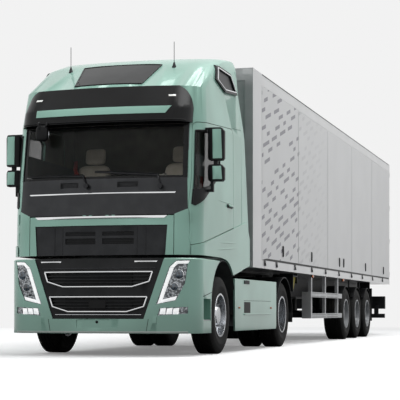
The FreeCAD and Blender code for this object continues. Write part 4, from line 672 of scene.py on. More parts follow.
for number, (top, bottom, half) in enumerate(((1.034, 0.868, 0.700), (0.725, 0.560, 0.632))):
    line = draped(mouth_line(top, bottom, half), "front", grille_skin, 0.003)
    piece("grille_frame_%d" % number, "tractor",
          swept(line, 0.0105, 10, 0.75, up=(0, 1, 0), closed=True), chrome)
    face = draped(along([(-0.44, top + 0.035), (0.44, top + 0.035)], 24), "front", grille_skin)
    fins = []
    for share in (0.125, 0.375, 0.625, 0.875):
        level = face + (0.0, 0.030, 0.0)
        level[:, 2] = bottom + (top - bottom) * share
        fins.append(swept(level, 0.004, 6, 3.2))
    for x in (-0.44, -0.29, -0.145, 0.0, 0.145, 0.29, 0.44):
        depth = np.interp(x, face[:, 0], face[:, 1]) + 0.034
        fins.append(swept(along([(x, depth, bottom + 0.004), (x, depth, top - 0.004)], 4), 0.004,
                          6, up=(0, 1, 0)))
    piece("grille_mesh_%d" % number, "tractor", fins, black_plastic)
front_depth = draped([(0.0, 0.745)], "front", grille_skin)[0, 1]
piece("radar_cover", "tractor", block(-0.11, 0.11, front_depth + 0.006, front_depth + 0.05,
                                      0.588, 0.700), visor_gloss, round_mm=4.0)
side_bar = ruled([(0.485, 1.160), (0.755, 1.160)], [(0.48, 1.178), (0.77, 1.178)], 14, 4)
piece("grille_side_bars", "tractor", both(plate(side_bar, "front", grille_skin, 0.006,
                                                crown=0.004)), chrome,
      round_mm=1.5)
for name, half, z, lift, radius, made, slot in (
        ("grille_low_bar", 0.565, 0.515, 0.002, 0.006, satin_chrome, "rim_alloy"),
        ("grille_mid_rib", 0.745, 1.085, 0.001, 0.008, charcoal_plastic, "black_trim")):
    line = draped(along([(-half, z), (half, z)], 40), "front", grille_skin, lift)
    piece(name, "tractor", swept(line, radius), made)


# Headlamps and fog lamps: a dark moulded housing with a bright daylight strip round three
# sides, a projector lens in a ring and small reflectors, all on the tractor's front corners.
FACET_MM = 26.0   # the reflector's facets, as wide as a fingertip
housing = material("lamp_housing_smoked_chrome", Metallic=0.75, Coat_Weight=1.0,
                   Coat_Roughness=0.02)
tree = housing[1]
facets = add(tree, "TexVoronoi", {"Vector": cells(tree, FACET_MM), "Scale": 1.0},
             feature="F1").outputs["Distance"]
# Each reflector facet is painted pale in its middle and dark towards its rim: painted highlights
# and shade.
refined("headlamps", [finished(housing, varied(tree, facets, "#9ea3a7", "#3a3e42"), facets,
                               (0.1, 0.35), 2.0, strength=0.6)], round_mm=4.0)
lamp_skin = skin_of("headlamps")
opal = lit_lens("opal_lamp_strip", 40.0, "#f0f3f4", "#ffffff", Roughness=0.15,
                Emission_Strength=0.45)
piece("daylight_strips", "tractor", both([
    plate(outline, "front", lamp_skin, 0.003, crown=0.003) for outline in (
        ruled([(0.968, 1.092), (1.018, 1.138), (1.128, 1.142)],
              [(0.922, 1.100), (1.001, 1.172), (1.148, 1.178)], 20, 5),
        ruled([(0.832, 0.700), (0.968, 1.088)], [(0.768, 0.650), (0.921, 1.096)], 20, 5),
        ruled([(0.768, 0.650), (0.984, 0.696)], [(0.834, 0.702), (1.010, 0.744)], 16, 5))]),
      opal)
lens = material("projector_lens_glass", IOR=1.52, Coat_Weight=1.0, Coat_Roughness=0.0)
tree = lens[1]
clear_lens = finished(lens, varied(tree, object_noise(tree, 30.0), "#1d2329", "#5d6d7b"),
                      object_noise(tree, 15.0), (0.02, 0.08))
lenses, rings = [], []
for x, z, radius in ((1.030, 1.005, 0.052), (0.975, 0.855, 0.044), (0.925, 0.765, 0.018)):
    spot = draped([(x, z)], "front", lamp_skin)[0]
    t = np.linspace(np.pi / 2.0, 0.0, 9)
    dome = np.stack([-0.018 * np.sin(t) - 0.004, radius * np.cos(t)], axis=1)
    lenses.append(turned(np.concatenate([dome, [(0.02, radius), (0.02, 0.0)]]), spot, "y", 32))
    a = np.linspace(0.0, 2.0 * np.pi, 32, endpoint=False)
    circle = spot + radius * 1.12 * np.stack([np.cos(a), 0.0 * a, np.sin(a)], axis=1)
    rings.append(swept(circle, radius * 0.13, up=(0, 1, 0), closed=True))
piece("projector_lenses", "tractor", both(lenses), clear_lens)
piece("projector_rings", "tractor", both(rings), satin_chrome)
piece("fog_reflectors", "tractor", both([
    plate(ruled([(x, 0.520), (x + 0.07, 0.522)], [(x + 0.012, 0.592), (x + 0.078, 0.598)], 10, 6),
          "front", lamp_skin, 0.003, crown=0.006) for x in (0.795, 0.875, 0.955)]), opal)


# Bumper fittings: the blank plate recess with its towing cap, the panel seams, a pale lip along
# the lower edge, tread plates in the corner steps, and the liners inside the front arches.
bumper_skin = skin_of("front_bumper")
seam_black = moulded("seam_shadow_rubber", "#0b0c0c", "#101111", 0.6)
recess_end = ruled([(0.627, 0.300), (0.633, 0.300)], [(0.655, 0.462), (0.661, 0.462)], 3, 16)
piece("bumper_seams", "tractor", [
    both(plate(recess_end, "front", bumper_skin, 0.0012)),
    plate(strip(0.60, 0.60, 0.464, 0.470), "front", bumper_skin, 0.0012)], seam_black)
side_seam = ruled([(0.395, 0.738), (0.775, 0.792)], [(0.395, 0.746), (0.775, 0.800)], 24, 2)
piece("bumper_side_seams", "tractor", both(plate(side_seam, "left", bumper_skin, 0.0015)),
      seam_black)
lip_line = draped(along([(-1.13, 0.300), (1.13, 0.300)], 60), "front", bumper_skin, 0.001)
piece("bumper_lip", "tractor", swept(lip_line, 0.008, 8, 1.5),
      moulded("pale_lip_rubber", "#9fa8a3", "#a9b1ad", 0.4))
cap_spot = draped([(0.0, 0.425)], "front", bumper_skin)[0]
piece("towing_cap", "tractor", turned([(0.004, 0.0), (0.004, 0.016), (-0.003, 0.018),
                                       (-0.004, 0.012), (-0.002, 0.0)], cap_spot, "y", 24),
      black_plastic)
TREAD_MM = 22.0   # pitch of the raised bars on the steps
tread = material("aluminium_tread_plate", Metallic=0.9)
tree = tread[1]
# The raised bars are painted paler and the hollows between them darker: painted light and shade.
bars = add(tree, "TexWave", {"Vector": cells(tree, TREAD_MM, turn=0.785),
                             "Scale": 0.32}).outputs["Fac"]
piece("corner_steps", "tractor", both(block(1.166, 1.252, 0.410, 0.728, 0.4405, 0.452)),
      finished(tread, varied(tree, bars, "#9da0a2", "#c9cccd"), bars, (0.5, 0.28), 1.5),
      round_mm=3.0)


def arch_liner(x0, x1, radius, start, end, centre_y, centre_z):
    """Half-round liner 4 mm thick: p(a, u) = centre + radius (cos a, sin a), x from x0 to x1,
    with a rolled outer edge; start and end are in degrees."""
    a = np.radians(np.linspace(start, end, 40))[:, None]
    x = np.array([x0, x0 + 0.02, (x0 + x1) / 2, x1 - 0.03, x1 - 0.008, x1])
    outer = radius - np.array([0.012, 0.0, 0.0, 0.0, 0.003, 0.012])
    return slab_between(*[np.stack([np.broadcast_to(x, (40, 6)), centre_y + np.cos(a) * r,
                                    centre_z + np.sin(a) * r], axis=-1)
                          for r in (outer, outer - 0.004)])


piece("front_arch_liners", "tractor", both(
    [arch_liner(0.93, 1.246, 0.628, -8.0, 188.0, 1.40, 0.60)]
    + [swept(along([(0.43, y, 0.815), (0.945, y, 0.815)], 6), 0.012, 10)
       for y in (0.815, 1.985)]), moulded("arch_liner_pp", "#3b3d3e", "#4a4c4c", 0.6))


# Mirrors: black moulded housings on black arms, mint covers clipped on their fronts, silvered
# glass behind, and the small kerb mirror that hangs under the visor.
def pod(centre, half, power=0.6, steps=20, rings=12):
    """A soft-cornered lump: p(u, v) = c + half (C(u) C(v), C(u) S(v), S(u)), where C and S are
    the cosine and sine raised to a power that squares them off."""
    u = np.linspace(-np.pi / 2, np.pi / 2, rings)[:, None]
    v = np.linspace(0.0, 2.0 * np.pi, steps, endpoint=False)[None, :]

    def soft(value):
        return np.sign(value) * np.abs(value) ** power
    unit = np.stack([soft(np.cos(u)) * soft(np.cos(v)), soft(np.cos(u)) * soft(np.sin(v)),
                     soft(np.sin(u)) * np.ones_like(v)], axis=-1)
    unit[0, :, :2] = 0.0
    unit[-1, :, :2] = 0.0
    points = np.asarray(centre, float) + unit * np.asarray(half, float)
    return points.reshape(-1, 3), grid_faces(rings, steps, wrap_columns=True)


mirror_glass = metal("silvered_mirror_glass", "#b9c2c6", "#c3cbce", 0.03, grain_deep=0.0)
for side, sign in SIDES:
    name, body = "mirror_" + side, side + "_door"
    refined(name, [black_plastic], round_mm=9.0)
    housing = skin_of(name)
    heads = ((2.462, 2.828), (2.203, 2.368))
    piece(name + "_covers", body, [
        plate(ruled([(sign * 1.338, low), (sign * 1.452, low)],
                    [(sign * 1.332, high), (sign * 1.440, high)], 12, 14),
              "front", housing, 0.007, crown=0.010) for low, high in heads], mint_lacquer,
          round_mm=3.0)
    piece(name + "_glass", body, [
        plate(ruled([(sign * 1.285, low), (sign * 1.452, low)],
                    [(sign * 1.285, high), (sign * 1.445, high)], 8, 8),
              "rear", housing, 0.003) for low, high in heads], mirror_glass,
          round_mm=1.0)

KERB_MIRROR = (-0.765, 0.10, 2.79)
piece("kerb_mirror", "cab", [
    pod(KERB_MIRROR, (0.080, 0.040, 0.100)),
    swept(along([(-0.80, 0.10, 2.93), (-0.80, 0.06, 2.91), (-0.79, 0.06, 2.86),
                 (-0.77, 0.09, 2.80)], 16), 0.012, up=(1, 0, 0)),
    swept(along([(-0.70, 0.10, 2.93), (-0.70, 0.07, 2.88), (-0.72, 0.09, 2.84)], 14),
          0.010, up=(1, 0, 0))], black_plastic)
a = np.linspace(0, 2 * np.pi, 28, endpoint=False)
rim_line = np.add(KERB_MIRROR, (0.0, 0.045, 0.0)) \
    + np.stack([0.07 * np.cos(a), np.zeros(28), 0.088 * np.sin(a)], axis=1)
piece("kerb_mirror_bezel", "cab", swept(rim_line, 0.008, up=(0, 1, 0), closed=True),
      satin_chrome)


# Door furniture: rubber seals round the side windows, a pull handle in its dark cup with a
# crease that runs along the door, and the two gills pressed into the flared panel below.
window_line = around([(0.282, 1.905), (0.820, 2.130), (1.200, 2.330), (1.260, 2.790),
                      (1.180, 2.850), (0.412, 2.800)], 18)
seal_rubber = moulded("window_seal_epdm", "#0e0f10", "#161718", 0.5)
fade_out = np.concatenate([np.linspace(0.2, 1, 6), np.ones(12), np.linspace(1, 0.2, 6)])
flare = skin_of("side_fins")
for side, sign in SIDES:
    door = skin_of("door_" + side)
    glazed = draped(window_line, side, skin_of("door_" + side, "door_glass_" + side), 0.002)
    crease = draped(along([(1.16, 1.992), (1.925, 1.992)], 24), side, door, -0.002)
    cup = ruled([(1.60, 1.925), (1.86, 1.925)], [(1.59, 1.975), (1.87, 1.975)], 16, 6)
    grip = draped([(1.73, 1.957)], side, door)[0] + (sign * 0.020, 0.0, 0.0)
    lock = draped([(1.895, 1.95)], side, door)[0]
    for name, form, made, slot in (
            ("window_seal_", swept(glazed, 0.016, 8, 0.6, (1, 0, 0), True), seal_rubber,
             "black_trim"),
            ("door_crease_", swept(crease, 0.008, 8, 0.6, (1, 0, 0), taper=fade_out),
             mint_lacquer, "mint_paint"),
            ("handle_cup_", plate(cup, side, door, 0.0015), black_plastic, "black_trim"),
            ("door_handle_", pod(grip, (0.013, 0.115, 0.017), 0.7), mint_lacquer, "mint_paint"),
            ("door_lock_", turned([(0.012, 0.0), (0.012, 0.010), (-0.004, 0.012),
                                   (-0.004, 0.0)], lock, "x", 20), satin_chrome, "rim_alloy")):
        piece(name + side, side + "_door", form, made)
    piece("flare_gills_" + side, "cab", [
        swept(draped(along(line, 30), side, flare, -0.001), 0.012, 8, 0.5, (1, 0, 0),
              taper=np.sin(np.linspace(0.25, np.pi - 0.25, 30)))
        for line in (((1.17, 1.447), (2.05, 1.476)), ((0.975, 1.345), (2.05, 1.410)))],
          mint_lacquer)


# Inside the cab: a grained dashboard with instruments and vents, a leather-covered wheel, two
# cloth-covered suspension seats with red belts, and the bunk with its mattress.
dash_plastic = moulded("dashboard_grained_tpo", "#5d5b55", "#69675f", 0.5, 1.8)
leather = moulded("wheel_leather", "#b7b4ab", "#c2bfb6", 0.42, 1.2, 0.1)
refined("dashboard", [dash_plastic], round_mm=8.0)
refined("steering_wheel", [leather], round_mm=1.0, crease=40.0)
refined("cab_floor", [moulded("floor_mat_rubber", "#232324", "#2d2d2e", 0.7)], round_mm=0.0)
dash = skin_of("dashboard")
instrument_hood = ruled([(0.36, 0.56), (0.88, 0.56)], [(0.38, 0.74), (0.86, 0.74)], 20, 10)
piece("dash_hoods", "cab", [
    plate(instrument_hood, "top", dash, 0.05, crown=0.04),
    plate(oblong(-0.32, 0.24, 0.60, 0.76, 20, 8), "top", dash, 0.02, crown=0.02),
    plate(oblong(-1.02, 1.02, 0.36, 0.50, 40, 6), "top", dash, 0.008, crown=0.006)],
      dash_plastic, round_mm=4.0)
piece("dash_vents", "cab", [
    plate(oblong(x, x + 0.11, 2.02, 2.08, 8, 5), "rear", dash, 0.006)
    for x in (-1.02, -0.30, 0.13, 0.92)], black_plastic, round_mm=3.0)
piece("dash_dials", "cab", plate(oblong(0.42, 0.82, 2.035, 2.115, 10, 6), "rear", dash, 0.004),
      visor_gloss, round_mm=2.0)
THREAD_MM = 5.0   # the cloth's threads are about 1 mm apart, drawn this coarse so that they show


def seat_cloth(name, colour, worn):
    """Woven cloth: two crossed sets of threads with a soft sheen at a slant."""
    parts = material(name, Roughness=0.9, Sheen_Weight=0.35, Sheen_Roughness=0.5)
    tree = parts[1]
    place = cells(tree, THREAD_MM)
    warp, weft = [add(tree, "TexWave", {"Vector": place, "Scale": 0.31, "Distortion": 0.4},
                      bands_direction=way).outputs["Fac"] for way in "XZ"]
    weave = add(tree, "Math", {0: warp, 1: weft}, operation="MAXIMUM").outputs[0]
    return finished(parts, varied(tree, object_noise(tree, 90.0, 3.0), colour, worn), weave,
                    deep_mm=0.8)


beige_cloth = seat_cloth("beige_seat_cloth", "#d2cab8", "#dcd5c5")
grey_cloth = seat_cloth("grey_bunk_cloth", "#8d8a84", "#9b9892")


def rounded_block(low, high, lean=0.0, across=14, power=0.35):
    """A block with soft corners between two corners of space; lean shifts it in y as it rises."""
    low, high = np.asarray(low, float), np.asarray(high, float)
    points, faces = pod((low + high) / 2.0, (high - low) / 2.0, power, across * 4, across * 2)
    share = (points[:, 2:] - low[2]) / (high[2] - low[2])
    return points + share * (0.0, lean, 0.0), faces


SWELL, FILL = 0.010, 0.8     # how far the filling may push the cloth out, and how tight it is


def padded_piece(name, form, made, voxel):
    """A cushion: the closed form is remeshed evenly, swollen by cloth pressure with each point's
    move held to the cap, and the result is kept as its mesh."""
    thing = piece(name, "cab", form, made, crease=180.0)

    def settle():
        graph = bpy.context.evaluated_depsgraph_get()
        solid = bpy.data.meshes.new_from_object(thing.evaluated_get(graph))
        thing.modifiers.clear()
        thing.data = solid
        spots = np.empty(len(solid.vertices) * 3)
        solid.vertices.foreach_get("co", spots)
        return solid, spots

    remesh = thing.modifiers.new("even_skin", "REMESH")
    remesh.mode = "VOXEL"
    remesh.voxel_size = voxel
    mesh, start = settle()
    cloth = thing.modifiers.new("stuffing", "CLOTH")
    cloth.settings.use_pressure = True
    cloth.settings.uniform_pressure_force = 4.0
    cloth.settings.effector_weights.gravity = 0.0
    for step in range(1, 21):
        scene.frame_set(step)
    mesh, end = settle()
    moved = (end - start).reshape(-1, 3)
    length = np.linalg.norm(moved, axis=1, keepdims=True)
    moved *= np.minimum(1.0, SWELL / np.maximum(length, 1e-9))
    mesh.vertices.foreach_set("co", (start.reshape(-1, 3) + moved).ravel())
    mesh.update()
    scene.frame_set(1)
    mesh.shade_smooth()
    finer = thing.modifiers.new("one_subdivision", "SUBSURF")
    finer.levels = finer.render_levels = 1
    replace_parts(thing, "seats")


for label, x, out in (("driver", 0.62, 1.0), ("passenger", -0.62, -1.0)):
    for part, half, low, high, lean, voxel in (
            ("cushion", 0.248, (1.032, 1.702), (1.528, 1.838), 0.0, 0.018),
            ("back", 0.238, (1.412, 1.835), (1.528, 2.545), 0.142, 0.020),
            ("headrest", 0.14, (1.583, 2.552), (1.664, 2.765), 0.045, 0.014)):
        form = rounded_block((x - half, *low), (x + half, *high), lean)
        padded_piece("%s_%s" % (label, part), form, beige_cloth, voxel)
    piece(label + "_bolsters", "cab", [
        rounded_block((x + shift - 0.032, 1.375, 1.86), (x + shift + 0.032, 1.44, 2.40), 0.11, 8)
        for shift in (-0.215, 0.215)], grey_cloth, crease=180.0)
    ripple = 1.0 + 0.06 * np.cos(np.linspace(0.0, 8.0 * np.pi, 24))
    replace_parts(piece(label + "_pedestal", "cab", [
        rounded_block((x - 0.20, 1.08, 1.342), (x + 0.20, 1.48, 1.46), 0.0, 10, 0.2),
        swept(along([(x, 1.28, 1.45), (x, 1.28, 1.70)], 24), 0.17, 28, up=(0, 1, 0),
              taper=ripple)], black_plastic), "seats")
    belt = [(0.27, 1.60, 2.60), (0.24, 1.47, 2.48), (0.05, 1.36, 2.20), (-0.20, 1.30, 1.92),
            (-0.262, 1.30, 1.80)]
    drop = [(0.27, 1.60, 2.60), (0.275, 1.56, 2.10), (0.270, 1.50, 1.72)]
    piece(label + "_belt", "cab", [
        swept(along([(x + out * far, y, z) for far, y, z in line], count), 0.023, 8, 0.06, up)
        for line, count, up in ((belt, 60, (0, -1, 0.35)), (drop, 40, (0, -1, 0)))],
          seat_cloth("red_belt_webbing_" + label, "#a8201c", "#b52b25"))
padded_piece("bunk_mattress", rounded_block((-1.182, 1.812, 1.772), (1.182, 2.323, 1.946), 0.0,
                                            22, 0.25), grey_cloth, 0.035)
bunk_box = rounded_block((-1.185, 1.855, 1.342), (1.185, 2.33, 1.762), 0.0, 22, 0.12)
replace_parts(piece("bunk_box", "cab", bunk_box, lining_trim), "seats")


# Chassis: rolled rails and forged parts under dark chassis enamel, a cast engine and gearbox,
# a greased fifth-wheel plate, black moulded mudguards bolted to the frame, and fuel tanks of
# brushed aluminium sheet with their ends welded in.
enamel = moulded("chassis_enamel_over_steel", "#1c1d20", "#27282b", 0.44, 3.0, 0.2)
sand_cast_iron = metal("sand_cast_engine_iron", "#4b4e51", "#5e5c58", 0.62, 0.75, (1, 1, 1), 3.0,
                       0.4)
greased_steel = metal("greased_coupling_steel", "#2e2c29", "#57534d", 0.3, 0.9, (1, 1, 1), 9.0,
                      0.2)
brushed_aluminium = metal("brushed_tank_aluminium", "#a9adb1", "#c2c5c8", 0.3, 1.0,
                          (0.08, 1.0, 1.0), 3.0, 0.08)
for name, made, edge in (
        ("tractor_frame", enamel, 2.0), ("front_brackets", enamel, 2.0),
        ("engine_block", sand_cast_iron, 6.0), ("front_axle", enamel, 4.0),
        ("drive_axle", enamel, 4.0), ("knuckle_left", enamel, 3.0),
        ("knuckle_right", enamel, 3.0), ("track_rod", enamel, 1.0),
        ("fifth_wheel", greased_steel, 3.0), ("rear_mudguards", black_plastic, 3.0)):
    refined(name, [made], round_mm=edge)
bolt_places = draped([(y, z) for y in np.arange(3.0, 5.6, 0.31) for z in (0.74, 0.89)], "left",
                     skin_of("tractor_frame"))
piece("rail_bolts", "tractor", both([
    turned([(-0.002, 0.0), (-0.002, 0.014), (0.011, 0.014), (0.013, 0.0)], place, "x", 6)
    for place in bolt_places]), satin_black)
refined("fuel_tanks", [brushed_aluminium], round_mm=14.0, crease=24.0)


# Skirts: painted sheet-moulded panels screwed to brackets on the frame, each with a seam, a
# ledge along its foot, a dark step pocket and amber marker lamps.
RIB_MM = 7.0   # the lens optics' ribs, drawn about twice as wide as they are


def ribbed_lens(name, colour, deep):
    """Clear coloured lens with moulded ribs, painted a deeper colour in the hollows between them
    as shade.
    """
    parts = material(name, Roughness=0.12, Transmission_Weight=0.25, Coat_Weight=0.6)
    tree = parts[1]
    ribs = add(tree, "TexWave", {"Vector": cells(tree, RIB_MM), "Scale": 0.62},
               bands_direction="DIAGONAL").outputs["Fac"]
    return finished(parts, varied(tree, ribs, deep, colour), ribs, deep_mm=0.6)


amber_lens = ribbed_lens("amber_polycarbonate_lens", "#f5811a", "#d9650a")
red_lens = ribbed_lens("red_polycarbonate_lens", "#b51216", "#860a0c")
skirt = skin_of("side_skirts")
for side, sign in SIDES:
    piece("skirt_details_" + side, "tractor", [
        plate(oblong(2.475, 2.83, 0.532, 0.686, 12, 8), side, skirt, 0.002),
        plate(oblong(2.46, 4.10, 0.7015, 0.7065, 24, 2), side, skirt, 0.001),
        plate(oblong(2.47, 2.75, 0.935, 0.985, 10, 4), side, skirt, 0.010)], black_plastic,
          round_mm=1.0)
    piece("skirt_ledge_" + side, "tractor", plate(oblong(2.46, 4.10, 0.506, 0.524, 24, 3), side,
                                                  skirt, 0.010), mint_lacquer,
          round_mm=2.0)
    piece("skirt_markers_" + side, "tractor", [
        plate(oblong(y - 0.04, y + 0.04, 0.594, 0.618, 8, 4), side, skirt, 0.010, crown=0.004)
        for y in (2.20, 4.11)], amber_lens, round_mm=2.0)


# Tyres: black rubber with four round grooves, blocks sawn by cross cuts at the shoulders, a
# scuff rib on each wall and a bead that sits in the rim.
rubber = moulded("tyre_tread_rubber", "#0c0c0d", "#191918", 0.72, 2.5, 0.2)
BLOCKS = 56            # shoulder blocks round a 1010 mm tyre, 57 mm apart
AROUND = BLOCKS * 6
RIM_RADIUS = 0.286     # of a 22.5 inch rim's seat


def tyre_surface(centre, wide, radius):
    """p(a, v) = c + along(v) x + r(a, v) (cos a, sin a), with r(v) the section's line and
    r(a, v) let in by the cross cuts over the shoulders and by the waves of the grooves."""
    w = wide / 2.0
    half = [(w - let_in, RIM_RADIUS + up) for let_in, up in (
        (0.030, -0.004), (0.014, 0.010), (0.012, 0.030), (0.004, 0.060), (0.0005, 0.086),
        (0.0, 0.092), (0.0, 0.102), (0.002, 0.108), (0.004, 0.140), (0.007, 0.157),
        (0.012, 0.170), (0.018, 0.184))]
    half += [(w - 0.027, radius - 0.018), (w - 0.036, radius - 0.004),
             (w - 0.044, radius - 0.001)]
    for place in (0.58, 0.20):
        g = (w - 0.044) * place
        half += [(g + 0.009, radius), (g + 0.006, radius - 0.013), (g - 0.006, radius - 0.013),
                 (g - 0.009, radius)]
    half = np.array(half)
    section = np.concatenate([half, half[::-1] * (-1.0, 1.0)])
    a = np.linspace(0.0, 2.0 * np.pi, AROUND, endpoint=False)[:, None]
    along_x = np.repeat(section[None, :, 0], AROUND, axis=0)
    r = np.repeat(section[None, :, 1], AROUND, axis=0)
    edge = np.clip((np.abs(along_x) - (w - 0.050)) / 0.012, 0.0, 1.0)
    high = np.clip((r - (radius - 0.022)) / 0.010, 0.0, 1.0)
    cut = (np.arange(AROUND) % 6 == 0).astype(float)[:, None]
    r = r - 0.009 * edge * high * cut
    wave = np.sin(a * BLOCKS / 2.0) * 0.004
    grooved = (np.abs(along_x) < w - 0.048) & (np.abs(along_x) > 0.004)
    along_x = along_x + wave * grooved
    lining = np.full((AROUND, 2), RIM_RADIUS + 0.012)
    along_x = np.concatenate([along_x, lining * 0.0 + (0.034 - w, w - 0.034)], axis=1)
    r = np.concatenate([r, lining], axis=1)
    points = np.stack([along_x, r * np.cos(a), r * np.sin(a)], axis=-1)
    return (points + np.asarray(centre, float)).reshape(-1, 3), \
        grid_faces(AROUND, points.shape[1], wrap_rows=True, wrap_columns=True)


# Wheels: steel discs under silver enamel behind the tyres, polished aluminium on the tractor,
# each held by ten plated nuts on studs round its hub.
polished_alloy = metal("polished_forged_alloy", "#b3b6ba", "#cfd1d4", 0.24, 1.0, (1, 1, 1), 2.0,
                       0.04)
silver_enamel = metal("silver_enamel_on_steel", "#8f9194", "#a4a6a8", 0.42, 0.55, (1, 1, 1), 2.0,
                      0.08)
nut_steel = metal("zinc_plated_nut", "#8f9092", "#aaabad", 0.34)
TRAILER_AXLES = (10.79, 12.10, 13.41)
NUT_CIRCLE = 0.1675    # the radius at which the ten nuts sit
WHEELS = [("front", 1.38, 0.312, polished_alloy), ("drive", 5.08, 0.312, polished_alloy)] + [
    ("trailer_%d" % (k + 1), y, 0.385, silver_enamel) for k, y in enumerate(TRAILER_AXLES)]
for label, wheel_y, wide, disc in WHEELS:
    for side, sign in SIDES:
        tyre, rim = "tyre_%s_%s" % (label, side), "rim_%s_%s" % (label, side)
        low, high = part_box(tyre)
        ends = sorted((sign * low[0], sign * high[0]))
        centres = [ends[1] - wide / 2.0]
        if ends[1] - ends[0] > 1.5 * wide:
            centres.append(ends[0] + wide / 2.0)
        middle = np.array([0.0, wheel_y, (low[2] + high[2]) / 2.0])
        radius = (high[2] - low[2]) / 2.0
        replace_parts(piece(tyre + "_treaded", BODY_OF[tyre], [
            tyre_surface(middle + (sign * x, 0.0, 0.0), wide - 0.001, radius)
            for x in centres], rubber, crease=32.0), tyre)
        refined(rim, [disc], round_mm=2.0, crease=28.0)
        turn = np.linspace(0.0, 2.0 * np.pi, 10, endpoint=False) + 0.31
        flat = middle[1:] + NUT_CIRCLE * np.stack([np.cos(turn), np.sin(turn)], axis=1)
        seats_of_nuts = draped(flat, side, skin_of(rim))
        nut = np.array([(-0.002, 0.0), (-0.002, 0.021), (0.006, 0.021), (0.007, 0.016),
                        (0.030, 0.015), (0.034, 0.011), (0.034, 0.0)]) * (sign, 1.0)
        stud = np.array([(0.030, 0.0), (0.030, 0.009), (0.044, 0.009), (0.046, 0.0)]) \
            * (sign, 1.0)
        piece("nuts_%s_%s" % (label, side), BODY_OF[rim], [
            turned(profile, place, "x", steps) for profile, steps in ((nut, 6), (stud, 12))
            for place in seats_of_nuts], nut_steel, crease=30.0)


# Trailer running gear: welded beams under grey-black primer, cast axles, cranked landing legs,
# and anodised side guards clipped to posts under the floor.
TRAILER = "trailer"
primer_steel = moulded("black_primer_on_beams", "#141517", "#202124", 0.5, 3.0, 0.2)
anodised_rail = metal("anodised_guard_rail", "#a9abad", "#bcbec0", 0.4, 0.85, (1.0, 0.06, 1.0),
                      3.0, 0.06)
for name in ("trailer_frame", "trailer_axles", "landing_legs"):
    refined(name, [primer_steel])
refined("side_guards", [anodised_rail], round_mm=5.0)
# Thin black strips where the guard rails' grooves run: painted shade in the grooves.
piece("guard_groove_shade", TRAILER, both([
    block(1.2605, 1.2615, y0 + 0.03, y1 - 0.03, z - 0.004, z + 0.004)
    for y0, y1 in ((7.2, 8.5), (8.6, 9.7)) for z in (0.452, 0.494, 0.812, 0.868)]), satin_black)
crank = [(0.79, 6.90, 0.98), (0.83, 6.85, 0.98), (0.93, 6.85, 0.98), (0.95, 6.85, 0.95),
         (0.95, 6.85, 0.80), (0.97, 6.85, 0.78), (1.06, 6.85, 0.78)]
piece("leg_crank", TRAILER, swept(along(crank, 40), 0.014, up=(0, 1, 0)), satin_black)


# Wheel chocks: a yellow moulded wedge on each side, pushed into a bent steel holder that
# hangs under the trailer's floor behind the tractor.
chocks = []
for x in (0.93, -1.10):
    points, faces = block(x, x + 0.17, 6.30, 6.62, 0.90, 1.13)
    points[(points[:, 1] > 6.5) & (points[:, 2] < 1.0), 1] -= 0.18
    chocks.append((points, faces))
piece("wheel_chocks", TRAILER, chocks,
      moulded("yellow_moulded_chock", "#a8990c", "#b7a81c", 0.5), round_mm=8.0)
piece("chock_holders", TRAILER, both([
    block(0.90, 1.13, 6.28, 6.30, 0.88, 1.185), block(0.90, 1.13, 6.62, 6.64, 1.02, 1.185),
    block(0.90, 1.13, 6.28, 6.64, 1.128, 1.145)]), satin_black)


# Box body: grey-white gelcoat on the panels, painted corner posts and header, extruded rails
# with riveted edges, steel lashing hooks and moulded pulls along them.
box_lacquer = pearl_paint("grey_white_box_lacquer", "#cacbcc", "#c4c5c6")
# The recessed front wall gets a darker grey than the panels: painted shade.
shaded_wall = moulded("front_wall_gelcoat_painted_shade", "#b4b5b6", "#bdbebf", 0.5, 3.0, 0.1)
rail_alloy = metal("mill_finish_rail_extrusion", "#8f9091", "#a3a4a5", 0.42, 0.7,
                   (1.0, 0.05, 1.0), 3.0, 0.06)


def box_faces(centres, normals):
    """1 on the recessed front wall, painted darker as the shade in its recess, 2 on the bottom
    rails' outer faces, 0 elsewhere.
    """
    wall = (normals[:, 1] < -0.9) & (np.abs(centres[:, 0]) < 1.16) & (centres[:, 2] < 3.82)
    rails = (np.abs(centres[:, 0]) > 1.20) & (centres[:, 2] < 1.305) & (centres[:, 1] > 2.95)
    return np.where(wall, 1, np.where(rails, 2, 0))


refined("box_body", [box_lacquer, shaded_wall, rail_alloy], box_faces, 4.0)


